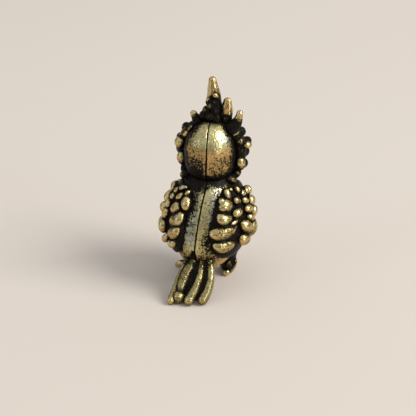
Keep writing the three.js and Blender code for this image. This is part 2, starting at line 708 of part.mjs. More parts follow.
// A raised band over the face, through places given as x and z.
function faceBand(places, width, out) {
  const points = places.map(([x, z]) => facePoint(x, z, out));
  return points.slice(1).map((to, i) => {
    const way = to.clone().sub(points[i]);
    const place = set(points[i].clone().addScaledVector(way, 0.5), way, vec(0, -1, 0));
    return lump(place, way.length() + width, width, width, 0, 6, 4);
  });
}

// Rows of small feathers over the forehead and under the beak.
function faceFeathers() {
  const feathers = [];
  const down = vec(0, 0, -1);
  for (let row = 0; row < foreheadRows; row++) {
    for (let i = 0; i <= row; i++) {
      const at = facePoint((i - row / 2) * foreheadFeather * 0.88, 2.3 + row * foreheadFeather * 0.62, 0.05);
      feathers.push(lump(set(at, down, vec(0, -1, 0)), foreheadFeather, foreheadFeather * 0.8, 0.8, 0, 6, 3));
    }
  }
  for (let row = 0; row < chinRows; row++) {
    const across = 4 - (row % 2);
    for (let i = 0; i < across; i++) {
      const at = facePoint((i - (across - 1) / 2) * chinFeather * 0.9, -2.9 - row * chinFeather * 0.57, 0.05);
      feathers.push(lump(set(at, down, vec(0, -1, 0)), chinFeather, chinFeather * 0.82, 0.8, 0, 6, 3));
    }
  }
  return feathers;
}

function faceMask() {
  const front = ball(maskHalfWidth, maskHalfDepth, maskHalfHeight).translate(0, -maskForward, 0);
  const cap = cut(front, box(farOut, farOut, farOut, 0, farOut / 2 - maskBack, 0));
  const discs = [1, -1].map((side) =>
    lump(set(eyeCentre(side), eyeWay(side), vec(0, 0, 1)), discThickness, 2 * discRadius, 2 * discRadius, 0, 16, 4),
  );
  const rims = [1, -1].map((side) => {
    const place = set(eyeCentre(side).addScaledVector(eyeWay(side), 0.3), eyeWay(side), vec(0, 0, 1));
    const ring = new THREE.TorusGeometry(eyeRadius + rimThickness / 2, rimThickness, 5, 16).rotateY(Math.PI / 2);
    return shaped(ring, (p) => place(p.x, p.y, p.z));
  });
  const sideTufts = [1, -1].map((side) => {
    const angle = rad(side > 0 ? leftTuftAngle : rightTuftAngle);
    const { way, at } = ruffPoint(side, angle, 1, -ruffForward);
    const [height, root] = side > 0 ? [leftTuftHeight, leftTuftRoot] : [rightTuftHeight, rightTuftRoot];
    return tuft(at, way, height, root, sideTuftTip, 0);
  });
  const bands = [1, -1].flatMap((side) => [
    ...faceBand([[side * 0.45, 1.5], [side * 1.6, 3.3], [side * 3.3, 3.9]], browWidth, 0.5),
    ...faceBand([[side * 0.9, -1.3], [side * 2.2, -2.3], [side * 3.9, -1.9]], cheekWidth, 0.3),
  ]);
  const ruff = [collar(), ...ruffKnobs(1, leftKnobs), ...ruffKnobs(-1, rightKnobs)];
  const trimmed = cut(
    join(cap, ...discs, ...rims, ...sideTufts, ...bands, ...faceFeathers(), ...ruff),
    skull(seatGap),
    toHead(bodyEgg(seatGap)),
    eyeLump(1, seatGap),
    eyeLump(-1, seatGap),
    beakLump(seatGap),
    tallHorn(seatGap),
    shortHorn(seatGap),
    ...tuftScales(seatGap),
  );
  return biggest(trimmed);
}

// Finishes

const finishes = {
  polished: { color: 0xc9a456, roughness: 0.35 },
  rubbed: { color: 0x9c7f45, roughness: 0.45 },
  patina: { color: 0x5c4a2c, roughness: 0.55 },
};

function mesh(name, solid, finish) {
  const { vertProperties, triVerts, numProp } = solid.getMesh();
  const geometry = new THREE.BufferGeometry();
  const points = new Float32Array((vertProperties.length / numProp) * 3);
  for (let i = 0; i < points.length / 3; i++) {
    points.set(vertProperties.subarray(i * numProp, i * numProp + 3), i * 3);
  }
  geometry.setAttribute("position", new THREE.BufferAttribute(points, 3));
  geometry.setIndex(new THREE.BufferAttribute(triVerts, 1));
  geometry.computeVertexNormals();
  const made = new THREE.Mesh(geometry, new THREE.MeshStandardMaterial({ metalness: 1, ...finishes[finish] }));
  made.name = name;
  return made;
}

// The owl

const bodyGroup = new THREE.Group();
bodyGroup.position.set(0, bodyAxisY, 0);
bodyGroup.add(
  mesh("left_body_shell", bodyShell(1), "rubbed"),
  mesh("right_body_shell", bodyShell(-1), "rubbed"),
  mesh("left_wing", wing(1, leftFeathers), "polished"),
  mesh("right_wing", wing(-1, rightFeathers), "polished"),
  mesh("breast_plate", breastPlate(), "polished"),
  mesh("tail", tail(), "polished"),
  mesh("left_foot", foot(1, leftFootTurn), "polished"),
  mesh("right_foot", foot(-1, rightFootTurn), "polished"),
  mesh("neck_dowel", neckDowel(0, dowelReach), "rubbed"),
);

const headGroup = new THREE.Group();
headGroup.position.set(0, bodyAxisY - headForward, skullZ);
headGroup.add(
  mesh("left_head_shell", headShell(1), "rubbed"),
  mesh("right_head_shell", headShell(-1), "rubbed"),
  mesh("face_mask", faceMask(), "polished"),
  mesh("left_eye", eye(1), "polished"),
  mesh("right_eye", eye(-1), "polished"),
  mesh("beak", beak(), "polished"),
  mesh("tall_tuft", tallTuft(), "patina"),
  mesh("short_tuft", shortTuft(), "patina"),
);

const owl = new THREE.Group();
owl.name = "owl_figurine";
owl.add(bodyGroup, headGroup);

export default owl;
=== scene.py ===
import math

import bmesh
import bpy
import numpy as np
from mathutils import Matrix, Vector, noise
from mathutils.bvhtree import BVHTree


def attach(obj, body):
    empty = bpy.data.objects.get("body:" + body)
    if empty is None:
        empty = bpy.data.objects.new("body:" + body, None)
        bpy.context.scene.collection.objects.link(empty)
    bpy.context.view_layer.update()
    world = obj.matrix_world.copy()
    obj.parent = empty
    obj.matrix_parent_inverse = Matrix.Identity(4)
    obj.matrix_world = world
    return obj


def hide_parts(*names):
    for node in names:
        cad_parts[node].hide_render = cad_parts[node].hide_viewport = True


# Antique brass owl figurine. The owl faces -Y, so +X is its own left side.
# Pieces are shaped in millimetres where the frame's nodes stand, and are scaled to metres at the end.
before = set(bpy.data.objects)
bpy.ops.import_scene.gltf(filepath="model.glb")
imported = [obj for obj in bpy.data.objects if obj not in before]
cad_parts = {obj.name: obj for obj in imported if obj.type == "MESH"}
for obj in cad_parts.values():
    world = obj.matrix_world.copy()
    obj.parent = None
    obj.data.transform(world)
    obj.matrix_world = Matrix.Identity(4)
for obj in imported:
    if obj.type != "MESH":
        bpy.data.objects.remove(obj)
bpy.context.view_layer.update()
print("frame loaded:", len(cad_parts), "nodes")

scene = bpy.context.scene
metre = 0.001
upwards, downwards, forwards = Vector((0, 0, 1)), Vector((0, 0, -1)), Vector((0, -1, 0))
sides = ((1, "left"), (-1, "right"))
fits = {"seamGap": 0.1, "seatGap": 0.15, "farOut": 60, "farUnder": -5}
body = {
    "axisY": -2.0, "halfWidth": 6.0, "halfDepth": 7.0, "middleZ": 10.6, "topRise": 9.8, "bottomDrop": 8.0,
    "lean": 2.0, "neckZ": 18.6, "wall": 1.6, "neckWall": 1.6,
}
skull = {
    "middle": Vector((0, -3.6, 22.6)), "halfWidth": 4.4, "halfDepth": 4.4, "halfHeight": 5.2, "barrel": 3,
    "wall": 1.6, "neckZ": 18.7, "dowelRadius": 1.1, "dowelReach": 2.3,
}


# Places

def clamp(value, low=0.0, high=1.0):
    return max(low, min(high, value))


def smoothStep(low, high, value):
    share = clamp((value - low) / (high - low))
    return share * share * (3 - 2 * share)


def leanAt(z):
    return body["lean"] * (z - body["middleZ"]) / body["topRise"]


def bodySection(z):  # half sizes of the body's level section, its side's slope and how level that side faces
    reach = body["topRise"] if z > body["middleZ"] else body["bottomDrop"]
    height = clamp((z - body["middleZ"]) / reach, -0.99, 0.99)
    share = math.sqrt(1 - height * height)
    slope = -height / share * (body["halfWidth"] + body["halfDepth"]) / 2 / reach
    return body["halfWidth"] * share, body["halfDepth"] * share, slope, 1 / math.hypot(1, slope)


def bodyPoint(azimuth, z, out):  # the azimuth is 0 straight back and positive towards the owl's left
    width, depth, slope, level = bodySection(z)
    return Vector((
        (width + out * level) * math.sin(azimuth),
        (depth + out * level) * math.cos(azimuth) - leanAt(z) + body["axisY"],
        z - out * slope * level,
    ))


def onBody(degrees, z, out, tilt=0.0):  # u runs to smaller azimuths, v up the body and w out of it
    width, depth, _, level = bodySection(z)
    radius = (width + depth) / 2 + out
    turn = math.radians(tilt)

    def place(u, v, w):
        aside = u * math.cos(turn) - v * math.sin(turn)
        up = u * math.sin(turn) + v * math.cos(turn)
        return bodyPoint(math.radians(degrees) - aside / radius, z + up * level, out + w)

    return place


def setAt(at, direction, out):  # u points along the direction and w towards out
    u = direction.normalized()
    v = out.cross(u).normalized()
    w = u.cross(v)
    return lambda a, b, c: at + u * a + v * b + w * c


# Shapes that are added to a bmesh

def ballOf(bm, place, around, rings):  # a unit ball with its poles on u, each point moved by the place function
    made = bmesh.ops.create_grid(bm, x_segments=around, y_segments=rings, size=1)["verts"]
    for vert in made:
        turn, rise = vert.co.x * math.pi, vert.co.y * math.pi / 2
        level = math.cos(rise)
        vert.co = place(Vector((math.sin(rise), level * math.cos(turn), level * math.sin(turn))))
    bmesh.ops.remove_doubles(bm, verts=made, dist=1e-5)


def lump(bm, place, length, height, thickness, swell=0.0, bend=0.0, around=22, rings=14):
    def move(p):
        fat = 1 + swell * p.x
        v = p.y * height * fat / 2 + bend * p.x * p.x
        return place(p.x * length / 2, v, p.z * thickness * fat / 2)

    ballOf(bm, move, around, rings)


def along(values, share):  # a smooth curve through points or numbers
    last = len(values) - 1
    step = min(int(share * last), last - 1)
    t = share * last - step
    a, b, c, d = (values[max(0, min(last, step + i))] for i in (-1, 0, 1, 2))
    return (b * 2 + (c - a) * t + (a * 2 - b * 5 + c * 4 - d) * t * t + (b * 3 - a - c * 3 + d) * t ** 3) * 0.5


def strand(bm, points, widths, out, flat=1.0, around=18, rings=30):  # a round-ended bar that follows points
    points = [Vector(p) for p in points]
    length = sum((b - a).length for a, b in zip(points, points[1:]))
    first, last = widths[0] / 2, widths[-1] / 2

    def move(p):
        run = (p.x + 1) / 2 * (length + first + last) - first
        share = clamp(run / length)
        near, far = max(0.0, share - 0.02), min(1.0, share + 0.02)
        way = (along(points, far) - along(points, near)).normalized()
        beyond = run - share * length
        radius = along(widths, share) / 2
        radius = math.sqrt(max(0.0, radius * radius - beyond * beyond)) if beyond else radius
        side = out.cross(way).normalized()
        level = math.hypot(p.y, p.z)
        y, z = (p.y / level, p.z / level) if level > 1e-6 else (0.0, 0.0)
        return along(points, share) + way * beyond + side * (y * radius) + way.cross(side) * (z * radius * flat)

    ballOf(bm, move, around, rings)


def ring(bm, place, radius, width, around=40):
    start = Matrix.Translation((radius, 0, 0)) @ Matrix.Rotation(math.pi / 2, 4, "X")
    made = bmesh.ops.create_circle(bm, cap_ends=False, segments=12, radius=width / 2, matrix=start)
    loop = made["verts"] + list({edge for vert in made["verts"] for edge in vert.link_edges})
    before = set(bm.verts) - set(made["verts"])
    bmesh.ops.spin(bm, geom=loop, cent=(0, 0, 0), axis=(0, 0, 1), angle=2 * math.pi, steps=around, use_merge=True)
    for vert in set(bm.verts) - before:
        vert.co = place(vert.co.z, vert.co.x, vert.co.y)


def rod(bm, start, end, radius):  # a peg, or the hole for one
    way = end - start
    turned = Matrix.Translation((start + end) / 2) @ way.to_track_quat("Z", "Y").to_matrix().to_4x4()
    bmesh.ops.create_cone(
        bm, cap_ends=True, segments=24, radius1=radius, radius2=radius, depth=way.length, matrix=turned,
    )


# Pieces

def asPiece(name, bm):
    mesh = bpy.data.meshes.new(name)
    bmesh.ops.recalc_face_normals(bm, faces=bm.faces)
    bm.to_mesh(mesh)
    bm.free()
    piece = bpy.data.objects.new(name, mesh)
    scene.collection.objects.link(piece)
    return piece


def filled(build):
    bm = bmesh.new()
    build(bm)
    return bm


def shaped(name, build):
    return asPiece(name, filled(build))


def settle(piece):  # applies the modifiers
    made = bpy.data.meshes.new_from_object(piece.evaluated_get(bpy.context.evaluated_depsgraph_get()))
    old = piece.data
    piece.modifiers.clear()
    piece.data = made
    bpy.data.meshes.remove(old)
    made.name = piece.name


def carve(piece, *cutters):
    for cutter in cutters:
        cut = piece.modifiers.new("cut", "BOOLEAN")
        cut.operation, cut.solver, cut.object = "DIFFERENCE", "MANIFOLD", cutter
        settle(piece)


def fuse(piece, voxel):  # lumps get one skin, as they would in a mould
    modifier = piece.modifiers.new("fuse", "REMESH")
    modifier.mode, modifier.voxel_size = "VOXEL", voxel
    settle(piece)


def pointsOf(mesh, what="co"):
    values = np.empty(len(mesh.vertices) * 3, np.float32)
    mesh.vertices.foreach_get(what, values)
    return values.reshape(-1, 3)


def neighbourMean(mesh, points):
    pairs = np.empty(len(mesh.edges) * 2, np.int32)
    mesh.edges.foreach_get("vertices", pairs)
    a, b = pairs.reshape(-1, 2).T
    count = len(points)
    degree = np.maximum(1, np.bincount(a, minlength=count) + np.bincount(b, minlength=count))

    def mean(of):
        total = [np.bincount(a, of[b, k], count) + np.bincount(b, of[a, k], count) for k in range(3)]
        return np.stack(total, 1) / degree[:, None]

    return mean


def movePoints(piece, points):
    piece.data.vertices.foreach_set("co", points.astype(np.float32).ravel())
    piece.data.update()


def soften(piece, rounds):  # rounds the creases off, as a casting's are
    points = pointsOf(piece.data)
    mean = neighbourMean(piece.data, points)
    for _ in range(rounds):
        points = 0.4 * points + 0.6 * mean(points)
    movePoints(piece, points)


skin = {"wave": 0.03, "waveScale": 0.9, "hammer": 0.018, "hammerScale": 2.3, "pit": 0.05, "pitScale": 3.6}


def castSkin(p, rough):  # how far the cast surface stands up or down at a place
    wave = skin["wave"] * noise.noise(p * skin["waveScale"])
    hammered = skin["hammer"] * rough * noise.noise(p * skin["hammerScale"])
    pit = smoothStep(0.28, 0.6, noise.noise(p * skin["pitScale"] + Vector((7, 3, 1))))
    return wave + hammered - skin["pit"] * rough * pit


def roughen(piece, rough):
    points = pointsOf(piece.data)
    normals = pointsOf(piece.data, "normal")
    lift = np.array([castSkin(Vector(p), rough) for p in points.tolist()], np.float32)
    movePoints(piece, points + normals * lift[:, None])


def casting(name, bm, cutters, voxel, rounds=3, rough=0.6):
    piece = asPiece(name, bm)
    fuse(piece, voxel)
    soften(piece, rounds)
    roughen(piece, rough)
    carve(piece, *cutters)
    print("cast", name, len(piece.data.polygons), "faces")
    return piece


# Body and skull: two half shells each, with the seam between them

def eggPoint(p, grow=0.0, top=None):
    rise = p.z * ((top or body["topRise"]) + grow if p.z > 0 else body["bottomDrop"] + grow)
    z = body["middleZ"] + rise
    y = p.y * (body["halfDepth"] + grow) - leanAt(z) + body["axisY"]
    return Vector((p.x * (body["halfWidth"] + grow), y, z))


def skullPoint(p, grow=0.0):
    level = math.hypot(p.x, p.y)
    barrel = skull["barrel"]
    wide = (1 - (-p.z) ** barrel) ** (1 / barrel) / level if p.z < 0 and level > 0.01 else 1
    return skull["middle"] + Vector((
        p.x * wide * (skull["halfWidth"] + grow),
        p.y * wide * (skull["halfDepth"] + grow),
        p.z * (skull["halfHeight"] + grow),
    ))


def levelBox(bm, low, high):  # a box over the whole owl between two levels
    size = fits["farOut"]
    middle = Matrix.Translation((0, 0, (low + high) / 2)) @ Matrix.Diagonal((size, size, high - low, 1))
    bmesh.ops.create_cube(bm, size=1, matrix=middle)


cavityTop = body["neckZ"] - body["neckWall"] - body["middleZ"] + body["wall"]
dowelEnd = skull["dowelReach"] + fits["seatGap"]
dowel = [Vector((0, skull["middle"].y, body["neckZ"] + way * dowelEnd)) for way in (-1, 1)]
toolShapes = {
    "eggSeat": lambda bm: ballOf(bm, lambda p: eggPoint(p, fits["seatGap"]), 160, 120),
    "skullSeat": lambda bm: ballOf(bm, lambda p: skullPoint(p, fits["seatGap"]), 140, 100),
    "eggCavity": lambda bm: ballOf(bm, lambda p: eggPoint(p, -body["wall"], cavityTop), 64, 48),
    "skullCavity": lambda bm: ballOf(bm, lambda p: skullPoint(p, -skull["wall"]), 64, 48),
    "dowelBore": lambda bm: rod(bm, *dowel, skull["dowelRadius"] + fits["seatGap"]),
    "overNeck": lambda bm: levelBox(bm, body["neckZ"], fits["farOut"]),
    "underSkull": lambda bm: levelBox(bm, fits["farUnder"], skull["neckZ"]),
    "skullFloor": lambda bm: levelBox(bm, fits["farUnder"], skull["neckZ"] + body["neckWall"]),
    "underFloor": lambda bm: levelBox(bm, -fits["farOut"], 0),
}
tools = {name: shaped(name, build) for name, build in toolShapes.items()}
carve(tools["skullCavity"], tools["skullFloor"])

shell = {
    "around": 380, "rings": 190, "crowd": 1.5,  # crowd packs the rings towards the seam
    "edge": 0.2, "lip": 0.3, "ridge": 0.05, "ridgeWidth": 0.5, "rough": 1.0,  # the lip doesn't move sideways
}
seam = {"bodyDrift": 0.42, "bodyZ": 12.7, "bodyReach": 4.5, "skullDrift": 0.45, "skullZ": 22.9, "skullReach": 5.5}


def seamDrift(z):  # the seam wanders off the middle
    if z < body["neckZ"]:
        return -seam["bodyDrift"] * clamp((z - seam["bodyZ"]) / seam["bodyReach"], -1, 1)
    return -seam["skullDrift"] * max(0, 1 - ((z - seam["skullZ"]) / seam["skullReach"]) ** 2)


def halfShell(name, side, pointOf, marks, carvings):
    bm = bmesh.new()
    ballOf(bm, lambda p: p, shell["around"], shell["rings"])
    bmesh.ops.delete(bm, geom=[v for v in bm.verts if v.co.x * side < -1e-4], context="VERTS")
    bmesh.ops.holes_fill(bm, edges=[e for e in bm.edges if e.is_boundary], sides=0)
    start = fits["seamGap"] / 2 / body["halfWidth"]
    for vert in bm.verts:
        p = vert.co
        share = (math.asin(clamp(abs(p.x))) / (math.pi / 2)) ** shell["crowd"] * math.pi / 2
        level = math.hypot(p.y, p.z)
        wide = math.cos(share) / level if level > 1e-6 else 0
        vert.co = pointOf(Vector((side * (start + (1 - start) * math.sin(share)), p.y * wide, p.z * wide)))
    besides = [abs(vert.co.x) - fits["seamGap"] / 2 for vert in bm.verts]
    for vert, beside in zip(bm.verts, besides):
        vert.co.x += seamDrift(vert.co.z) * (1 - smoothStep(0, 3, beside))
    bm.normal_update()
    moved = []
    for vert, beside in zip(bm.verts, besides):
        p = vert.co.copy()
        edge = shell["edge"] * (1 + 0.5 * noise.noise(Vector((side * 3, p.y * 0.8, p.z * 0.8))))
        rounded = -edge * 0.8 * (1 - clamp(beside / edge)) ** 2
        ridge = shell["ridge"] * math.exp(-(beside / shell["ridgeWidth"]) ** 2) if side < 0 else 0
        moved.append(rounded + ridge + castSkin(p, shell["rough"]) + marks(p))
    for vert, beside, out in zip(bm.verts, besides, moved):
        normal = Vector((vert.normal.x if beside > shell["lip"] else 0, vert.normal.y, vert.normal.z)).normalized()
        vert.co += normal * out
    piece = asPiece(name, bm)
    carve(piece, *(tools[t] for t in carvings))
    print("shell", name, len(piece.data.polygons), "faces")
    return piece


scars = {
    "crackZ": 12.55, "crackDeep": 0.1, "crackWidth": 0.07,
    "dents": [((0.85, 5.0, 6.9), 0.42, 0.6), ((0.75, 5.1, 7.6), 0.3, 0.35)],  # place, radius and depth
    "patch": Vector((-1.3, 4.7, 9.8)), "patchRadius": 1.3, "patchDeep": 0.09, "napeDeep": 0.06,
}


def dent(p, at, radius, depth):
    far = (p - Vector(at)).length / radius
    return -depth * math.exp(-far * far)


def bodyMarks(p):  # the crack beside the seam, the two dents over the tail and the rough patch on the right
    crackZ = scars["crackZ"] + 0.12 * noise.noise(p * 2)
    crack = smoothStep(1.6, 1.2, p.x) * smoothStep(-0.02, 0.05, p.x) * (p.y > 0)
    out = -scars["crackDeep"] * crack * math.exp(-((p.z - crackZ) / scars["crackWidth"]) ** 2)
    out += sum(dent(p, *place) for place in scars["dents"])
    patch = math.exp(-((p - scars["patch"]).length / scars["patchRadius"]) ** 2)
    return out - scars["patchDeep"] * patch * smoothStep(-0.1, 0.3, noise.noise(p * 2.9))


def skullMarks(p):  # the lower back of the head is rougher
    low = smoothStep(22.5, 19.5, p.z)
    return -scars["napeDeep"] * low * smoothStep(-0.05, 0.35, noise.noise(p * 2.7))


pieces = {}
for side, own in sides:
    pieces[f"{own}_body_shell"] = halfShell(
        f"{own}Body", side, eggPoint, bodyMarks, ("overNeck", "eggCavity", "dowelBore"))
    pieces[f"{own}_head_shell"] = halfShell(
        f"{own}Skull", side, skullPoint, skullMarks, ("underSkull", "skullCavity", "dowelBore"))


# Wings: a plate wrapped round each flank, with raised feathers

wing = {
    "azimuth": 75, "leftAhead": 2, "middleZ": 11.8, "length": 12.2, "height": 11.4, "square": 3, "rise": 0.7,
    "swell": 0.35, "rim": 4, "thickness": 2.1, "thin": 0.75, "thicken": 0.7, "sink": 0.1, "bite": 0.1,
    "shoulderDrop": 0.4, "belly": 0.6, "bellyStart": 45, "bellyFull": 75, "bellyUp": -0.15, "bellyReach": 0.8,
}
# Degrees from straight back, mm over the wing's middle, length, height, tilt with the rear end up, and bend and swell
# where they aren't those of a plain feather.
plainFeather = (0, 0.1)
leftFeathers = [
    (22.5, 3.6, 2.3, 1.9, 100, 0, 0.05), (33.8, 0.85, 3.8, 2.2, 32, 0.25, 0.1), (36, -1.15, 3.6, 2.0, 35, 0.25, 0.1),
    (42, -3.1, 2.7, 1.5, 22, 0.1, 0.1), (40, 2.35, 2.5, 2.0, 30), (40, 4.05, 2.3, 1.1, 37),
    (26, 4.85, 1.3, 0.9, 60, 0, 0), (43, 5.15, 2.0, 0.9, 28, 0, 0), (54.8, 4.4, 1.8, 1.1, 41, 0, 0),
    (59, 3.3, 1.8, 1.1, 46), (63.5, 1.95, 1.9, 1.4, 60), (63, 0.5, 2.2, 1.4, 52), (66, -1.5, 2.4, 1.9, 80),
    (56, -2.8, 1.9, 1.2, 46), (68, -3.6, 1.9, 1.3, 30), (76, 4.0, 1.8, 1.5, 20), (80, 2.2, 2.1, 1.7, 20),
    (83, 0.4, 2.2, 1.7, 20), (84, -2.0, 2.4, 1.9, 20), (96, 3.3, 1.9, 1.6, 12), (100, 1.4, 2.1, 1.7, 12),
    (102, -0.6, 2.2, 1.8, 12), (103, -2.7, 2.2, 1.7, 10), (115, 2.6, 1.8, 1.6, 8), (119, 0.6, 1.9, 1.6, 8),
    (119, -1.4, 1.9, 1.6, 6),
]
rightFeathers = [
    (47.5, 4.8, 2.1, 1.35, 84, 0, 0.15), (42, 3.4, 2.8, 2.2, 10, 0, 0.12), (36, 4.05, 1.4, 1.3, 60, 0, 0),
    (38.5, 1.55, 3.1, 1.9, 14, 0.3, 0.12), (38.6, -0.4, 5.4, 2.1, -2, 0.3, 0.25), (39.5, -2.5, 4.3, 2.0, 7, 0.2, 0.08),
    (63.8, 3.45, 2.0, 1.3, 33), (59.5, 1.95, 2.3, 1.5, 5, 0, 0), (71.5, -0.5, 3.1, 1.9, 37, 0, -0.28),
    (71.5, -2.4, 3.0, 1.9, 12, 0.15, 0.05), (92, -1.7, 3.0, 2.1, 76, 0, 0.05), (56, 5.25, 1.1, 0.8, 26, 0, 0),
    (71.5, 4.8, 1.5, 1.0, 62, 0, 0), (82, 3.85, 1.9, 1.3, 35), (81.5, 2.8, 2.0, 1.15, 37), (84, 1.45, 2.7, 1.3, 22),
    (85, 0.1, 2.6, 1.25, 28), (52, 0.75, 2.2, 0.8, -6, 0.1, 0), (98, 3.6, 1.9, 1.5, 20), (102, 1.9, 2.1, 1.6, 15),
    (104, 0.2, 2.2, 1.6, 12), (108, -2.9, 2.2, 1.7, 8), (116, 2.8, 1.8, 1.6, 8), (119, 0.9, 1.9, 1.6, 8),
    (119, -1.1, 1.9, 1.6, 6),
]


def wingSpan(alongWing, up):
    return (abs(alongWing) ** wing["square"] + abs(up) ** wing["square"]) ** (1 / wing["square"])


def wingAt(side):
    return wing["azimuth"] + (wing["leftAhead"] if side > 0 else 0)


def wingSurface(side, degrees, up):
    radius = body["halfWidth"] + body["halfDepth"]
    alongWing = math.radians(degrees - wingAt(side)) * radius / wing["length"]
    dome = max(0, 1 - wingSpan(alongWing, up) ** wing["rim"]) ** (1 / wing["rim"])
    belly = wing["belly"] * max(0, 1 - ((up - wing["bellyUp"]) / wing["bellyReach"]) ** 2)
    belly *= smoothStep(wing["bellyStart"], wing["bellyFull"], degrees)
    level = max(wing["thickness"] / 2 - wing["bite"], wing["rise"] * (1 - wing["swell"] * up) * dome)
    return level + belly - wing["shoulderDrop"] * max(0, up)


def wingPlate(bm, side):
    place = onBody(side * wingAt(side), wing["middleZ"], 0)

    def move(p):
        x, y, z = p.z, p.y, p.x
        level = math.hypot(x, y)
        square = level / max(wingSpan(x, y), 1e-6)
        dome = math.copysign(max(0, 1 - level ** wing["rim"]) ** (1 / wing["rim"]), z)
        belly = wing["belly"] / 2 * (1 - side * x) * max(0, 1 - y * y) * max(0, 1 - level)
        rise = (wing["rise"] * (1 - wing["swell"] * y) + belly) * dome
        return place(x * square * wing["length"] / 2, y * square * wing["height"] / 2, rise)

    ballOf(bm, move, 64, 40)


def makeWing(name, side, feathers):
    bm = bmesh.new()
    wingPlate(bm, side)
    for degrees, rise, length, height, tilt, *rest in feathers:
        bend, swell = rest or plainFeather
        out = wingSurface(side, degrees, rise * 2 / wing["height"]) - wing["sink"]
        place = onBody(side * degrees, wing["middleZ"] + rise, out, side * tilt)
        thickness = min(wing["thickness"], wing["thin"] + wing["thicken"] * height)
        lump(bm, place, length, height, thickness, side * swell, bend)
    return casting(name, bm, [tools["eggSeat"]], voxel=0.11)


pieces["left_wing"] = makeWing("leftWing", 1, leftFeathers)
pieces["right_wing"] = makeWing("rightWing", -1, rightFeathers)


# Breast: a plate with overlapping feathers

breast = {
    "middleZ": 11.2, "length": 7.6, "height": 12.4, "rise": 0.9, "rows": 7, "step": 1.55, "spread": 15.5,
    "feather": (2.3, 1.75, 1.25), "lift": 0.12, "lean": 9,  # a feather's length, width and thickness
    "quill": (-0.6, 0, 0.7), "quillWidths": [0.22, 0.26, 0.2],
}


def makeBreast():
    bm = bmesh.new()
    lump(bm, onBody(180, breast["middleZ"], 0), breast["length"], breast["height"], 2 * breast["rise"], 0, 0, 48, 32)
    for row in range(breast["rows"]):
        rise = (row - (breast["rows"] - 1) / 2) * breast["step"]
        up = 2 * rise / breast["height"]
        across = 3 if row % 2 else 4 if 0 < row < breast["rows"] - 1 else 2
        for i in range(across):
            degrees = 180 + (i - (across - 1) / 2) * breast["spread"]
            out = breast["rise"] * math.sqrt(1 - up * up) - breast["lift"]
            place = onBody(degrees, breast["middleZ"] + rise, out, -90)  # u runs down the body
            tipped = lambda u, v, w, place=place: place(u, v, w + u * math.tan(math.radians(breast["lean"])))
            lump(bm, tipped, *breast["feather"], 0.14)
            top = breast["feather"][2] / 2 - 0.02
            strand(bm, [tipped(t, 0, top) for t in breast["quill"]], breast["quillWidths"], forwards)
    return casting("breast", bm, [tools["eggSeat"]], voxel=0.11)


pieces["breast_plate"] = makeBreast()


# Tail: ribs with deep grooves between them, joined by a web underneath

tail = {
    "rootZ": 5.8, "reach": 4.5, "rootPitch": 1.3, "rootIn": 0.4, "rootUp": 0.3, "sag": 0.25, "ribDeep": 1.1,
    "ball": 2.1, "ballZ": 0.98, "ballOff": Vector((0, 0.05, 0.14)), "ballNeck": 0.87, "ballShine": 1.15,
    "web": 0.7, "webShort": 1.1, "webSink": 0.2, "webSpread": 0.6,
}
# Each rib from the owl's left: where its tip is aside, its share of the reach, its widths, how deep its root lies
# and how far its middle bows aside.
ribs = [
    (3.35, 1.08, (1.1, 1.1, 1.15, 1.3), 0.35, 0.2), (2.25, 0.9, (1.4, 1.75, 1.75, 1.25), 0, 0.5),
    (0.4, 0.98, (1.1, 1.25, 1.5, 1.7), 0, -0.45), (-1.75, 0.8, (1.1, 1.3, 1.5, 1.7), 0, -0.6),
]
rumpY = bodyPoint(0, tail["rootZ"], 0).y
ribLines = []  # points along each rib with its half width there


def makeTail():
    bm = bmesh.new()
    up = Vector((0, 0.5, 1))
    for i, (aside, share, widths, deep, bow) in enumerate(ribs):
        root = Vector(((1.5 - i) * tail["rootPitch"], rumpY - tail["rootIn"], tail["rootZ"] + tail["rootUp"] - deep))
        ball = i == 1  # this rib ends in a ball
        tip = Vector((aside, rumpY + tail["reach"] * share, tail["ballZ"] if ball else widths[3] / 2))
        path = [root.lerp(tip, t) + Vector((bow, 0, -tail["sag"])) * (4 * t * (1 - t)) for t in (0, 0.33, 0.67, 1)]
        if ball:
            path[3] = along(path, tail["ballNeck"])
            tip += tail["ballOff"]
            lump(bm, setAt(tip, tip - root, up), *[tail["ball"]] * 3)
        strand(bm, path, widths, up, flat=tail["ribDeep"])
        ribLines.extend((*along(path, t / 24), along(widths, t / 24) / 2) for t in range(25))
        if ball:
            ribLines.append((*tip, tail["ballShine"]))
    rootPlace = Vector((0, rumpY, tail["rootZ"] - tail["webSink"]))
    endPlace = Vector(((ribs[0][0] + ribs[3][0]) / 2, rumpY + tail["reach"] - tail["webShort"], tail["web"]))
    place = setAt((rootPlace + endPlace) / 2, endPlace - rootPlace, up)
    length = (endPlace - rootPlace).length

    def web(p):
        root = tail["rootPitch"] * 3
        width = root + (ribs[0][0] - ribs[3][0] - root) * (p.x + 0.5) * tail["webSpread"]
        return place(p.x * length, p.y * width, p.z * tail["web"])

    made = bmesh.ops.create_cube(bm, size=1)
    for vert in made["verts"]:
        vert.co = web(vert.co)
    return casting("tail", bm, [tools["eggSeat"], tools["underFloor"]], voxel=0.1, rounds=2)


pieces["tail"] = makeTail()


# Feet: a leg, three front toes and a hind toe, each with a claw

foot = {
    "aside": 3.1, "forward": 1.6, "legTop": 3.4, "ankle": 2.2, "legZ": (1.0, 2.4, 4.2), "frontToe": 2.58,
    "hindToe": 1.78, "longToe": 0.8, "toeBack": 0.3, "spread": 30, "leftTurn": 60, "rightTurn": -12,
    "toeShares": (0, 0.45, 0.8, 0.98), "toeZ": (0.9, 0.85, 0.6, 0.3), "toeWidths": [1.3, 1.25, 1.15, 0.5],
    "knuckle": (1.1, 1.3, 1.2), "feathers": 6, "feather": (1.7, 1.1, 0.9), "featherZ": 2.2, "featherOut": 1.2,
}


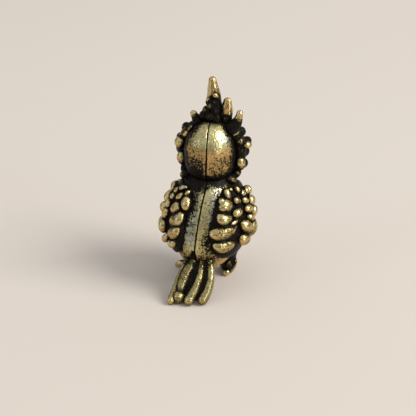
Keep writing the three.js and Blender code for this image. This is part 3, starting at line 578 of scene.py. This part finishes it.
def makeFoot(name, side, turned):
    bm = bmesh.new()
    middle = Vector((side * foot["aside"], body["axisY"] - foot["forward"], 0))
    widths = [foot["ankle"], foot["ankle"] * 1.1, foot["legTop"]]
    strand(bm, [middle + Vector((0, 0, z)) for z in foot["legZ"]], widths, Vector((0, 1, 0)))
    for toe in (-1, 0, 1, None):  # the last is the hind toe
        turn = math.radians(180 if toe is None else toe * foot["spread"] + side * turned)
        way = Vector((math.sin(turn), -math.cos(turn), 0))
        reach = foot["hindToe"] if toe is None else foot["frontToe"]
        if side > 0 and toe == 1:
            reach += foot["longToe"]
        ankle = middle - way * foot["toeBack"]
        steps = zip(foot["toeShares"], foot["toeZ"])
        path = [ankle + way * reach * share + Vector((0, 0, z)) for share, z in steps]
        strand(bm, path, foot["toeWidths"], upwards, around=16, rings=24)
        lump(bm, setAt(path[2], way, upwards), *foot["knuckle"])
    for i in range(foot["feathers"]):  # short feathers round the leg
        turn = math.radians(i * 360 / foot["feathers"] + 20)
        way = Vector((math.sin(turn), -math.cos(turn), 0))
        at = middle + way * foot["featherOut"] + Vector((0, 0, foot["featherZ"]))
        lump(bm, setAt(at, downwards - way * 0.35, way), *foot["feather"], 0.1)
    return casting(name, bm, [tools["eggSeat"], tools["underFloor"]], voxel=0.09, rounds=2)


pieces["left_foot"] = makeFoot("leftFoot", 1, foot["leftTurn"])
pieces["right_foot"] = makeFoot("rightFoot", -1, foot["rightTurn"])


# Crest: two tufts on the crown. Head places are measured from the middle of the skull.

def head(x, y, z):
    return skull["middle"] + Vector((x, y, z))


crest = {
    "tall": [(-0.2, -1.4, 4.2), (-0.25, -1.5, 6.8), (-0.12, -1.6, 9.3), (0.1, -1.7, 11.55)],
    "tallWidths": [3.6, 2.7, 2.25, 1.3],
    "short": [(-2.15, -1.2, 3.6), (-2.3, -1.35, 5.4), (-2.4, -1.5, 7.0), (-2.45, -1.55, 8.1)],
    "shortWidths": [2.2, 2.1, 1.95, 1.45],
    "clump": 3.9, "clumpAt": (0.2, -1.4, 5.4), "scaleSwell": 0.2, "tip": (1.25, 1.3, 1.3), "shortFlat": 0.85,
}
# Place of each scale, its length and width, and the way it points.
tallScales = [
    ((-0.8, -0.5, 9.2), 1.5, 0.9, (0.45, 0.5, 1)), ((0.5, -0.35, 8.3), 1.6, 0.85, (-0.45, 0.5, 1)),
    ((0.75, -0.1, 6.9), 1.6, 1.3, (-0.6, 0.6, 1)), ((-0.85, 0.05, 6.7), 1.8, 1.3, (0.5, 0.6, 1)),
    ((0.0, 0.1, 7.6), 1.5, 1.2, (0.1, 0.6, 1)), ((-0.5, -0.2, 8.1), 1.5, 1.0, (0.3, 0.5, 1)),
    ((1.2, -0.1, 5.9), 1.7, 1.5, (-0.5, 0.6, 1)), ((0.0, 0.3, 6.0), 1.7, 1.5, (0, 0.7, 1)),
    ((-1.1, 0.1, 5.6), 1.6, 1.4, (0.5, 0.7, 1)), ((0.1, -2.3, 8.2), 1.6, 1.2, (0, -0.5, 1)),
    ((-0.6, -2.7, 6.9), 1.7, 1.3, (-0.2, -0.6, 1)), ((0.6, -2.7, 6.8), 1.7, 1.3, (0.2, -0.6, 1)),
]
shortScales = [
    ((-1.75, -0.9, 5.6), 1.8, 0.8, (0, 0.1, 1)), ((-2.9, -1.0, 5.7), 2.0, 0.9, (0, 0.1, 1)),
    ((-2.3, -0.6, 5.2), 1.4, 1.0, (0, 0.1, 1)),
]


def grown(sizes, grow):
    return [size + 2 * grow for size in sizes]


def addScales(bm, scales, grow, swell=0.0):
    for at, length, width, way in scales:
        lump(bm, setAt(head(*at), Vector(way), -forwards), *grown((length, width, width), grow), swell)


def makeTall(bm, grow=0.0):
    strand(bm, [head(*p) for p in crest["tall"]], grown(crest["tallWidths"], grow), forwards)
    size = crest["clump"] + 2 * grow
    lump(bm, setAt(head(*crest["clumpAt"]), Vector((1, 0, 0)), upwards), size, size * 0.8, size * 0.75)
    addScales(bm, tallScales, grow, crest["scaleSwell"])
    if not grow:
        lump(bm, setAt(head(*crest["tall"][-1]), upwards, forwards), *crest["tip"])


def makeShort(bm, grow=0.0):
    strand(bm, [head(*p) for p in crest["short"]], grown(crest["shortWidths"], grow), forwards, crest["shortFlat"])
    addScales(bm, shortScales, grow)


def makeSeat(name, build, voxel):  # a cutting tool that leaves the seat's gap, its lumps fused
    tools[name] = shaped(name, lambda bm: build(bm, fits["seatGap"]))
    fuse(tools[name], voxel)


makeSeat("tallSeat", makeTall, 0.12)
makeSeat("shortSeat", makeShort, 0.12)
seats = [tools["skullSeat"], tools["tallSeat"]]
pieces["tall_tuft"] = casting("tallTuft", filled(makeTall), seats[:1], voxel=0.08, rounds=2)
pieces["short_tuft"] = casting("shortTuft", filled(makeShort), seats, voxel=0.08, rounds=2)


# Face: a cap over the front of the skull with eye discs and brows, edged with knobs

face = {
    "halfWidth": 5.9, "halfHeight": 5.4, "halfDepth": 4.3, "forward": 0.9, "back": 0.4, "tuftTip": 1.15,
    "ruffHalfWidth": 5.5, "ruffHalfHeight": 4.5, "discRadius": 2.55, "eyeRadius": 1.55, "eyeSpread": 2.15,
    "eyeRise": 1.2, "eyeProud": 0.75, "eyeWay": (0.28, -1, 0.08), "pupil": 0.62, "pupilOut": 0.25,
    "iris": (1.12, 0.16), "irisAt": 0.72, "discDeep": 1.1, "rim": 0.5, "rimOut": 0.35,  # iris: radius, width
    "quills": 18, "quill": [(0.5, 1.75), (0.52, 2.2), (0.28, 2.75)], "quillWidths": [0.3, 0.42, 0.4],
    "collar": {"radius": 4.8, "halfWidth": 4.95, "halfHeight": 4.5, "forward": 0.6, "width": 1.9},
    # Bands: how far aside, how high over the skull's middle and how far off the face each point is, and the widths.
    "brow": ([(0.45, 1.5, 0.5), (1.6, 3.3, 0.5), (3.3, 3.9, 0.5)], [0.6, 0.9, 0.75]),
    "cheek": ([(0.9, -1.3, 0.3), (2.2, -2.3, 0.35), (3.9, -1.9, 0.2)], [0.5, 0.75, 0.6]),
    "beak": ([(0, 0.5, 0.1), (0, -0.5, 0.55), (0, -1.5, 0.75), (0, -2.25, 0.45)], [1.2, 1.5, 1.2, 0.4]),
    # Rows of small feathers: how many in each, height of the first, step up, step aside and size.
    "rows": [((1, 2, 3, 4), 2.3, 0.75, 1.05, (1.2, 0.95, 0.8)), ((4, 3, 4), -2.9, -0.8, 1.25, (1.4, 1.15, 0.8))],
}
# Knobs of the ruff: degrees from straight up, share of the ruff's oval, how far behind the skull's middle, length,
# width, depth and the length's turn up from level.
leftKnobs = [
    (40, 1.03, 0.65, 1.3, 0.75, 1.3, 132), (58, 0.93, 0.1, 1.6, 1.0, 1.6, 130), (80, 0.95, 0.1, 2.0, 1.9, 2.0, 0),
    (111, 0.93, 0.5, 2.5, 2.0, 1.9, 80), (129, 1.1, 0.4, 1.9, 1.4, 1.8, 110), (137, 1.15, 1.5, 2.2, 1.6, 1.9, 150),
    (56, 1.08, -1.5, 1.6, 1.4, 1.7, 140), (81, 1.03, -2.0, 1.7, 1.6, 1.8, 80), (100, 1.03, -1.6, 1.7, 1.6, 1.8, 90),
    (118, 1.13, -1.9, 1.7, 1.6, 1.8, 110), (138, 1.2, -1.9, 1.7, 1.5, 1.7, 140), (153, 1.2, -2.6, 1.7, 1.5, 1.6, 160),
]
rightKnobs = [
    (52, 1.02, -0.2, 2.1, 0.8, 1.6, 147), (68, 0.99, -0.2, 1.7, 1.5, 1.8, 170), (77, 1.12, -0.7, 1.9, 1.35, 1.9, 20),
    (110, 1.02, -0.1, 2.6, 1.7, 2.0, 82), (130, 1.17, 0, 1.9, 1.4, 1.8, 120), (139, 1.17, 1.3, 2.2, 1.6, 1.9, 30),
    (57, 1.13, -1.6, 1.6, 1.4, 1.7, 40), (78, 1.07, -2.2, 1.7, 1.5, 1.8, 80), (94, 1.0, -1.6, 1.7, 1.6, 1.8, 90),
    (117, 1.11, -1.9, 1.7, 1.6, 1.8, 70), (138, 1.2, -1.9, 1.7, 1.5, 1.7, 40), (153, 1.2, -2.6, 1.7, 1.5, 1.6, 20),
]
sideTufts = [
    ([(2.0, -0.5, 4.2), (2.6, -0.7, 5.1), (3.1, -0.8, 5.8)], [2.2, 1.6, 1.05]),
    ([(-3.5, -0.7, 3.9), (-4.35, -0.8, 5.2), (-4.72, -0.8, 6.55)], [2.8, 1.7, 1.0]),
]


def facePoint(x, z, out=0.0):
    share = 1 - (x / face["halfWidth"]) ** 2 - (z / face["halfHeight"]) ** 2
    return head(x, -face["forward"] - (face["halfDepth"] + out) * math.sqrt(max(0.0, share)), z)


def ruffPoint(side, degrees, share, back):  # the ruff is an oval round the skull
    x, z = side * math.sin(math.radians(degrees)), math.cos(math.radians(degrees))
    reach = share / math.hypot(x / face["ruffHalfWidth"], z / face["ruffHalfHeight"])
    return head(x * reach, back, z * reach)


def eyePlace(side, out=0.0):
    aside, ahead, up = face["eyeWay"]
    way = Vector((side * aside, ahead, up)).normalized()
    return setAt(facePoint(side * face["eyeSpread"], face["eyeRise"]) + way * out, way, upwards)


def eyeLump(bm, side, grow=0.0):
    width = 2 * (face["eyeRadius"] + grow)
    lump(bm, eyePlace(side), 2 * (face["eyeProud"] + grow), width, width, 0, 0, 48, 32)


def beakShape(bm, grow=0.0):
    path, widths = face["beak"]
    strand(bm, [facePoint(*p) for p in path], grown(widths, grow), forwards, flat=1.25)
    lump(bm, setAt(facePoint(0, -1.7, 0.1), Vector((0, -0.2, -1)), forwards), *grown((1.7, 1.1, 1.3), grow))


def makeMask():
    bm = bmesh.new()
    cap = lambda p: head(p.x * face["halfWidth"], p.y * face["halfDepth"] - face["forward"], p.z * face["halfHeight"])
    ballOf(bm, cap, 96, 64)
    cutAt = head(0, -face["back"], 0)
    bmesh.ops.bisect_plane(
        bm, geom=list(bm.verts) + list(bm.edges) + list(bm.faces), plane_co=cutAt, plane_no=(0, 1, 0), clear_outer=True)
    bmesh.ops.holes_fill(bm, edges=[e for e in bm.edges if e.is_boundary], sides=0)
    for side in (1, -1):
        place = eyePlace(side)
        lump(bm, place, face["discDeep"], 2 * face["discRadius"], 2 * face["discRadius"], 0, 0, 48, 24)
        ring(bm, eyePlace(side, face["rimOut"]), face["eyeRadius"] + 0.2, face["rim"])
        for i in range(face["quills"]):  # fine feathers fan out from the eye
            turn = math.radians(i * 360 / face["quills"])
            if abs(math.sin(turn) * side + 0.9) < 0.25:  # none towards the beak
                continue
            path = [place(u, r * math.sin(turn), r * math.cos(turn)) for u, r in face["quill"]]
            strand(bm, path, face["quillWidths"], place(1, 0, 0) - place(0, 0, 0), around=12, rings=16)
        for path, widths in (face["brow"], face["cheek"]):
            strand(bm, [facePoint(side * x, z, out) for x, z, out in path], widths, forwards)
    for counts, z, stepUp, stepAside, size in face["rows"]:  # over the forehead and under the beak
        for row, count in enumerate(counts):
            for i in range(count):
                at = facePoint((i - (count - 1) / 2) * stepAside, z + row * stepUp, 0.05)
                lump(bm, setAt(at, downwards, forwards), *size, 0.12)
    for side, knobs in ((1, leftKnobs), (-1, rightKnobs)):
        for degrees, share, back, long, wide, deep, turn in knobs:
            way = Vector((math.cos(math.radians(turn)), 0, math.sin(math.radians(turn))))
            lump(bm, setAt(ruffPoint(side, degrees, share, back), way, -forwards), long, wide, deep, 0.08)
    for path, widths in sideTufts:
        strand(bm, [head(*p) for p in path], widths, forwards)
        lump(bm, setAt(head(*path[-1]), upwards, forwards), *[face["tuftTip"]] * 3)
    collar = face["collar"]
    oval = lambda u, v, w: head(v * collar["halfWidth"], u - collar["forward"], w * collar["halfHeight"])
    ring(bm, lambda u, v, w: oval(u, v / collar["radius"], w / collar["radius"]), collar["radius"], collar["width"], 64)
    cuts = ["skullSeat", "eggSeat", "tallSeat", "shortSeat", "leftEyeSeat", "rightEyeSeat", "beakSeat"]
    return casting("faceMask", bm, [tools[t] for t in cuts], voxel=0.11)


for side, own in sides:
    tools[f"{own}EyeSeat"] = shaped(f"{own}EyeSeat", lambda bm: eyeLump(bm, side, fits["seatGap"]))
    eye = pieces[f"{own}_eye"] = shaped(f"{own}Eye", lambda bm: eyeLump(bm, side))
    pupilAt = eyePlace(side, face["eyeProud"] + face["pupilOut"])
    irisAt = eyePlace(side, face["eyeProud"] * face["irisAt"])
    pupil = tools[f"{own}Pupil"] = shaped("pupil", lambda bm: lump(bm, pupilAt, *[2 * face["pupil"]] * 3))
    iris = tools[f"{own}Iris"] = shaped("iris", lambda bm: ring(bm, irisAt, *face["iris"]))
    carve(eye, tools["skullSeat"], pupil, iris)
makeSeat("beakSeat", beakShape, 0.1)
pieces["beak"] = casting("beak", filled(beakShape), [tools["skullSeat"]], voxel=0.06, rounds=2, rough=0.3)
pieces["face_mask"] = makeMask()
for used in tools.values():
    bpy.data.objects.remove(used)


# Wear and painted light: how sheltered each point is by the metal round it, where the patina was left thick, where
# shade is painted on undersides, and the tone with its painted reflections

wear = {"cell": 0.16, "margin": 14, "near": 0.32, "wide": 0.95, "reliefRounds": 14, "reliefScale": 0.05}


def fillGrid(grid, low, piece, solid):  # marks the cells inside a piece, column by column
    tree = BVHTree.FromObject(piece, bpy.context.evaluated_depsgraph_get())
    points = pointsOf(piece.data)
    start, end = points.min(0), points.max(0)
    cell = wear["cell"]
    first = np.floor((start - low) / cell).astype(int)
    last = np.ceil((end - low) / cell).astype(int)
    for i in range(first[0], last[0] + 1):
        for j in range(first[1], last[1] + 1):
            x, y = low[0] + i * cell, low[1] + j * cell
            z, hits = end[2] + 1, []
            while True:
                hit = tree.ray_cast(Vector((x, y, z)), downwards)
                if hit[0] is None:
                    break
                hits.append(hit[0].z)
                z = hit[0].z - 1e-3
            if solid and hits:
                hits = [hits[0], hits[-1]]
            for top, bottom in zip(hits[::2], hits[1::2]):
                a, b = math.ceil((bottom - low[2]) / cell), math.floor((top - low[2]) / cell)
                grid[i, j, a:b + 1] = 1


def blurred(grid, sigma):
    reach = int(math.ceil(3 * sigma / wear["cell"]))
    steps = np.arange(-reach, reach + 1) * wear["cell"]
    kernel = np.exp(-(steps / sigma) ** 2 / 2)
    kernel /= kernel.sum()
    for axis in range(3):
        out = np.zeros_like(grid)
        for weight, shift in zip(kernel, range(-reach, reach + 1)):
            out += weight * np.roll(grid, shift, axis)
        grid = out
    return grid


def sample(grid, low, points):
    where = (points - low) / wear["cell"]
    base = np.floor(where).astype(int)
    part = where - base
    total = np.zeros(len(points), np.float32)
    for corner in np.ndindex(2, 2, 2):
        index = base + corner
        weight = np.prod(np.where(np.array(corner) == 1, part, 1 - part), 1)
        total += weight * grid[index[:, 0], index[:, 1], index[:, 2]]
    return total


def fade(low, high, values):
    share = np.clip((values - low) / (high - low), 0, 1)
    return share * share * (3 - 2 * share)


def spots(points, places):
    return sum(amount * np.exp(-(((points - at) / radius) ** 2).sum(1)) for at, radius, amount in places)


def offBody(points):  # roughly how far a point stands off the body's egg
    x, y, z = points.T
    reach = np.where(z > body["middleZ"], body["topRise"], body["bottomDrop"])
    sizes = np.stack(np.broadcast_arrays(body["halfWidth"], body["halfDepth"], reach), 1)
    scaled = np.stack([x, y - body["axisY"] + leanAt(z), z - body["middleZ"]], 1) / sizes
    level = np.sqrt((scaled ** 2).sum(1))
    return (level - 1) * level / np.sqrt(((scaled / sizes) ** 2).sum(1))


stains = {  # soft round spots: place, radius and amount
    "dark": [((-1.35, 4.6, 9.6), 1.3, 0.5), ((-2.2, 4.4, 8.4), 1.0, 0.3)],
    "rubbed": [((3.6, 2.8, 5.6), 1.8, 0.9), ((-4.2, 1.2, 5.2), 2.2, 0.7), ((3.1, 4.3, 9.5), 1.6, 0.5),
               ((3.0, 4.6, 12.2), 1.6, 0.5)],
    "tuftTips": [((3.15, -4.4, 28.5), 0.8, 1), ((-4.7, -4.4, 28.9), 1.1, 1)],
    "ruffEdge": [((-4.9, -3.6, 24.7), 1.1, 1.3), ((-5.4, -4.3, 22.3), 1.0, 1.3)],
    # Height and half width of the skull's bright middle on the owl's left and right; outside it the skull is painted
    # dark.
    "left": [(20.0, 3.1), (22.4, 3.15), (23.5, 3.4), (24.6, 3.2), (25.7, 2.55), (26.5, 1.95), (27.3, 1.5), (28.0, 0.9)],
    "right": [(20.0, 4.1), (23.6, 4.2), (24.7, 3.9), (25.6, 3.5), (26.2, 3.0), (27.0, 2.4)],
}


def patinaAndShadeLevelOf(node, points):  # how thick the patina was left in the seams, hollows and grooves; other bands and patches are simply painted darker
    x, y, z = points.T
    if "shell" in node:
        beside = np.abs(x - np.array([seamDrift(v) for v in z.tolist()]))
        patinaAndShadeLevel = 0.12 + 0.9 * np.exp(-(beside / 0.16) ** 2)
        if "body" in node:
            patinaAndShadeLevel += 0.9 * fade(16.8, 17.9, z - 0.6 * fade(-0.5, -1.3, x))
            patinaAndShadeLevel += 0.1 + 0.26 * fade(0, 0.6, x) + 0.3 * fade(8.6, 6.6, z)
            return patinaAndShadeLevel + spots(points, stains["dark"]) - spots(points, stains["rubbed"])
        patinaAndShadeLevel += 0.2 * fade(25.4, 24.0, z) + 0.33 * fade(23.6, 21.6, z) + 0.5 * fade(21.4, 19.4, z - 0.6 * np.sign(x))
        patinaAndShadeLevel += 0.16 * fade(0, 0.4, x)
        left, right = (np.interp(z, *np.transpose(stains[own])) for own in ("left", "right"))
        return patinaAndShadeLevel + 0.9 * fade(-0.6, 0.3, np.maximum(x - left, -x - right))
    if "wing" in node:
        shoulder = fade(-5.1, -6.0, x) * fade(14.3, 15.0, z) * fade(-1, 0, y)
        return 0.1 + 1.1 * fade(1.35, 0.85, offBody(points)) + 0.7 * shoulder
    if "breast" in node:
        return 0.1 + 0.6 * fade(1.0, 0.6, offBody(points))
    if "foot" in node:
        return 0.1 + 0.9 * fade(0.9, 1.4, z)
    if node == "tall_tuft":
        top = 0.6 * fade(33.6, 32.8, z) * fade(-0.1, -0.5, x)
        return 0.05 + 1.4 * fade(32.3, 31.4, z + 0.6 * fade(0.1, 0.6, x)) + top
    if node == "short_tuft":
        return 0.05 + 1.4 * fade(29.2, 28.4, z) + 0.5 * fade(-2.8, -3.2, x)
    if node == "face_mask":
        tufts = 1.3 * fade(25.8, 26.6, z) * (1 - np.minimum(1, 1.3 * spots(points, stains["tuftTips"])))
        back = np.maximum(0.9 * fade(20.8, 19.6, z), (1.1 - 0.4 * np.sign(x)) * fade(-4.4, -5.0, y - 0.3 * (x < 0)))
        back += spots(points, stains["ruffEdge"])
        return 0.12 + (tufts + back) * fade(-6.4, -5.6, y)
    if node == "tail":
        lines = np.array(ribLines)
        off = np.min(np.linalg.norm(points[:, None] - lines[None, :, :3], axis=2) - lines[None, :, 3], 1)
        return 0.12 + 1.2 * fade(0.06, 0.2, off) + 0.4 * fade(5.0, 6.0, z)
    return np.full(len(points), 0.1)


def toneAndReflectionOf(node, points):  # 0 for pale brass and 1 for golden, partly the metal's own tone and partly a painted warm floor reflection; below 0 is a painted cool reflection
    x, y, z = points.T
    if "head_shell" in node:
        # the lower skull is golden with a painted warm floor reflection, and its upper right edge turns cool with a
        # painted cool highlight
        return 0.05 + fade(25.0, 23.4, z) - 0.4 * fade(-2.0, -2.9, x) * fade(24.0, 25.2, z)
    if "body_shell" in node:
        # painted cool reflections on the back either side of the seam, and a painted warm floor reflection low on the
        # body
        pale = np.maximum(0.5 * fade(0.1, 0.7, x) * fade(7.5, 9.5, z), 0.5 * fade(-1.1, -1.8, x) * fade(10.5, 12.5, z))
        return 0.1 + 0.7 * fade(8.6, 6.8, z) - pale * fade(-1, 1, y)
    if node == "tail":
        return 0.25 + 0.45 * fade(1.7, 0.5, z)
    return np.full(len(points), 0.55 if "tuft" in node else 0.4)


def addWearAndPaintedLight():
    every = np.concatenate([pointsOf(p.data) for p in pieces.values()])
    low = every.min(0) - wear["margin"] * wear["cell"]
    size = np.ceil((every.max(0) - low) / wear["cell"]).astype(int) + wear["margin"]
    grid = np.zeros(size, np.float32)
    for node, piece in pieces.items():
        fillGrid(grid, low, piece, "shell" in node)
    fields = {name: blurred(grid, wear[name]) for name in ("near", "wide")}
    for node, piece in pieces.items():
        mesh = piece.data
        points, normals = pointsOf(mesh), pointsOf(mesh, "normal")
        mean = neighbourMean(mesh, points)
        smooth = points
        for _ in range(wear["reliefRounds"]):
            smooth = 0.5 * smooth + 0.5 * mean(smooth)
        relief = ((points - smooth) * normals).sum(1) / wear["reliefScale"]
        found = {name: sample(field, low, points) for name, field in fields.items()}
        found |= {"relief": np.clip(relief, -1, 1), "patinaAndShadeLevel": patinaAndShadeLevelOf(node, points), "toneAndReflection": toneAndReflectionOf(node, points)}
        if "shell" not in node:  # painted shade darkens the undersides, and a painted warm floor reflection turns them golden
            under = fade(0.3, -0.4, normals[:, 2])
            found["patinaAndShadeLevel"] += 0.3 * under
            found["toneAndReflection"] += 0.45 * under
        for name, values in found.items():
            mesh.attributes.new(name, "FLOAT", "POINT").data.foreach_set("value", values.astype(np.float32))


addWearAndPaintedLight()
print("wear worked out")


# Materials

class Signal:  # a shader socket; arithmetic on it adds Math nodes
    def __init__(self, recipe, socket):
        self.recipe, self.socket = recipe, socket

    def math(self, operation, first, second):
        return self.recipe.node("Math", {"operation": operation}, {0: first, 1: second})

    def __add__(self, other):
        return self.math("ADD", self, other)

    __radd__ = __add__

    def __sub__(self, other):
        return self.math("SUBTRACT", self, other)

    def __rsub__(self, other):
        return self.math("SUBTRACT", other, self)

    def __mul__(self, other):
        return self.math("MULTIPLY", self, other)

    __rmul__ = __mul__


class Recipe:
    def __init__(self, holder):
        holder.use_nodes = True
        self.tree = holder.node_tree
        self.tree.nodes.clear()

    def node(self, kind, settings=None, inputs=None, output=0):
        made = self.tree.nodes.new(f"ShaderNode{kind}")
        for name, value in (settings or {}).items():
            setattr(made, name, value)
        for name, value in (inputs or {}).items():
            if isinstance(value, Signal):
                self.tree.links.new(value.socket, made.inputs[name])
            else:
                made.inputs[name].default_value = value
        return Signal(self, made.outputs[output]) if made.outputs else None

    def ramp(self, value, low, high):  # 0 below low and 1 above high
        settings = {"interpolation_type": "SMOOTHSTEP"}
        return self.node("MapRange", settings, {"Value": value, "From Min": low, "From Max": high})

    def noise(self, place, scale, detail, rough=0.5):
        values = {"Vector": place, "Scale": scale, "Detail": detail, "Roughness": rough}
        return self.node("TexNoise", None, values)

    def mix(self, factor, first, second):
        values = {0: factor, 6: first, 7: second}
        return self.node("Mix", {"data_type": "RGBA"}, values, 2)


def colour(red, green, blue):  # from 0-255 as seen on a screen
    def linear(value):
        value /= 255
        return value / 12.92 if value <= 0.04045 else ((value + 0.055) / 1.055) ** 2.4

    return (linear(red), linear(green), linear(blue), 1)


# the cool colour paints a cool reflection; the near-black and brown colours paint patina and also the shade painted on
# undersides
brass = {
    "bright": colour(208, 197, 143), "golden": colour(212, 174, 114), "coolReflection": colour(186, 187, 168),
    "olive": colour(126, 112, 66), "patina": colour(13, 11, 9), "dulledAndShaded": colour(56, 46, 30),
}


def brassMaterial(name, near, wide, worth, bias, polish, dull, speckled):
    material = bpy.data.materials.new(name)
    recipe = Recipe(material)
    place = recipe.node("TexCoord", None, None, 3)
    millimetres = recipe.node("VectorMath", {"operation": "SCALE"}, {0: place, "Scale": 1000.0})
    sheltered, enclosed, relief, patinaAndShadeLevel, toneAndReflection = (
        recipe.node("Attribute", {"attribute_name": field}, None, 2)
        for field in ("near", "wide", "relief", "patinaAndShadeLevel", "toneAndReflection"))
    blotches = recipe.noise(millimetres, 0.8, 2.0)
    grain = recipe.noise(millimetres, 3.0, 3.0, 0.7)
    fine = recipe.noise(millimetres, 9.0, 2.0, 0.6)
    cells = recipe.node("TexVoronoi", None, {"Vector": millimetres, "Scale": 2.8})
    # pits gather where the patina and the painted shade are thick
    pit = recipe.ramp(cells + (grain - 0.5) * 1.3, 0.34, 0.22) * recipe.ramp(patinaAndShadeLevel + blotches * 0.8, 0.42, 0.64)
    # tarnish follows the sheltered places and the patina level, and carries the shade painted on undersides
    tarnishAndShade = (sheltered - 0.5) * near + (enclosed - 0.5) * wide - relief * worth + patinaAndShadeLevel + bias
    speckle = (grain - 0.5) * speckled + (fine - 0.5) * 0.8 + (blotches - 0.5) * 0.5
    # the near-black coat is patina, plus painted shade on undersides; the olive dulling below carries the same
    patina = recipe.ramp(tarnishAndShade + speckle + pit * 0.6, 0.42, 0.56)
    dulledAndShaded = recipe.ramp(tarnishAndShade + speckle * 0.4, -0.35, 0.45)
    # golden is partly the metal's own tone and partly a painted warm floor reflection; below 0 the hue turns to a
    # painted cool reflection
    golden = recipe.ramp(toneAndReflection + (blotches - 0.5) * 0.9, 0.2, 0.8)
    hue = recipe.mix(golden, brass["bright"], brass["golden"])
    hue = recipe.mix(recipe.ramp(toneAndReflection, -0.1, -0.4), hue, brass["coolReflection"])
    metal = recipe.mix(dulledAndShaded * dull, hue, brass["olive"])
    dark = recipe.mix(recipe.ramp(fine + grain * 0.5, 0.75, 1.0), brass["patina"], brass["dulledAndShaded"])
    base = recipe.mix(patina, metal, dark)
    height = grain * 0.4 + fine * 0.25 - patina * 0.5 - pit * 0.6
    bump = recipe.node("Bump", None, {"Height": height, "Strength": 0.6, "Distance": 0.06 * metre})
    shader = recipe.node("BsdfPrincipled", None, {
        "Base Color": base,
        "Metallic": 1 - patina,
        "Roughness": polish + patina * 0.04 + dulledAndShaded * 0.06 + (grain - 0.5) * 0.2,
        "Specular IOR Level": 0.08,
        "Normal": bump,
    })
    recipe.node("OutputMaterial", None, {"Surface": shader})
    return material


# Name, how much metal close by, metal further off and standing proud count, what is added to the tarnish and painted
# shade everywhere, roughness, how olive the dulled and shaded metal turns and how speckled it is.
finishes = {
    "shell": ("smoothBrass", 3.0, 3.0, 0.0, 0.03, 0.3, 0.5, 3.8),
    "casting": ("raisedBrass", 3.5, 1.5, 0.7, 0.68, 0.25, 1.0, 2.0),
    "tuft": ("tuftBrass", 3.5, 1.5, 0.25, 0.1, 0.26, 0.8, 3.0),
    "tail": ("tailBrass", 1.8, 0.5, 0.3, 0.36, 0.22, 1.0, 1.8),
}
materials = {kind: brassMaterial(*finish) for kind, finish in finishes.items()}
for node, piece in pieces.items():
    kind = next((k for k in ("shell", "tuft", "tail") if k in node), "casting")
    piece.data.materials.clear()
    piece.data.materials.append(materials[kind])
    piece.data.shade_smooth()
    piece.data.set_sharp_from_angle(angle=math.radians(50))
    piece.data.transform(Matrix.Scale(metre, 4))
    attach(piece, "root")
    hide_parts(node)

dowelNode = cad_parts["neck_dowel"]
dowelNode.data.materials.clear()
dowelNode.data.materials.append(materials["shell"])
print("materials made")


# Floor, lights and camera

def makeFloor():
    bm = bmesh.new()
    bmesh.ops.create_grid(bm, x_segments=2, y_segments=2, size=2)
    floor = asPiece("floor", bm)
    material = bpy.data.materials.new("paleFloor")
    recipe = Recipe(material)
    place = recipe.node("TexCoord", None, None, 3)
    soft = recipe.noise(place, 6.0, 1.0)
    base = recipe.mix(soft, colour(222, 211, 198), colour(226, 217, 205))
    shader = recipe.node("BsdfPrincipled", None, {"Base Color": base, "Roughness": 0.85})
    recipe.node("OutputMaterial", None, {"Surface": shader})
    floor.data.materials.append(material)


aim = Vector((0, -0.002, 0.015))
lights = {  # where each one is, how far off, its size, power and tint
    "keyLight": ((-0.84, 0.02, 0.72), 1.5, 0.9, 16.6, (1.0, 0.98, 0.95)),
    "coolLeft": ((0.9, 0.75, 0.35), 0.6, 0.25, 0.3, (0.8, 0.9, 1.0)),
    "coolRight": ((-1.0, 0.55, 0.2), 0.6, 0.2, 0.5, (0.72, 0.86, 1.0)),
}
photoView = {"lens": 114.23, "place": (-0.04993, 0.19103, 0.10798), "target": Vector((0, -0.002, 0.01265))}


def softbox(name, towards, distance, size, power, tint):
    light = bpy.data.lights.new(name, "AREA")
    light.shape, light.size, light.energy, light.color = "DISK", size, power, tint
    lamp = bpy.data.objects.new(name, light)
    way = Vector(towards).normalized()
    lamp.location = aim + way * distance
    lamp.rotation_euler = way.to_track_quat("Z", "Y").to_euler()
    scene.collection.objects.link(lamp)


makeFloor()
for name, light in lights.items():
    softbox(name, *light)

world = scene.world = bpy.data.worlds.new("studio")
sky = Recipe(world)
direction = sky.node("TexCoord")
height = sky.node("SeparateXYZ", None, {0: direction}, 2)
skyColour = sky.mix(sky.ramp(height, 0.0, 0.75), colour(96, 86, 74), colour(245, 246, 250))
seen = sky.node("LightPath")  # the camera sees a pale wall
background = sky.node("Background", None, {
    "Color": sky.mix(seen, skyColour, colour(222, 212, 200)),
    "Strength": 0.7 + seen * 0.3,
})
sky.node("OutputWorld", None, {"Surface": background})

camera = bpy.data.cameras.new("camera")
camera.lens, camera.sensor_width, camera.clip_start, camera.clip_end = photoView["lens"], 36, 0.005, 20
view = scene.camera = bpy.data.objects.new("camera", camera)
view.location = photoView["place"]
view.rotation_euler = (photoView["target"] - view.location).to_track_quat("-Z", "Y").to_euler()
scene.collection.objects.link(view)
scene.view_settings.view_transform = "Standard"

print("scene ready")
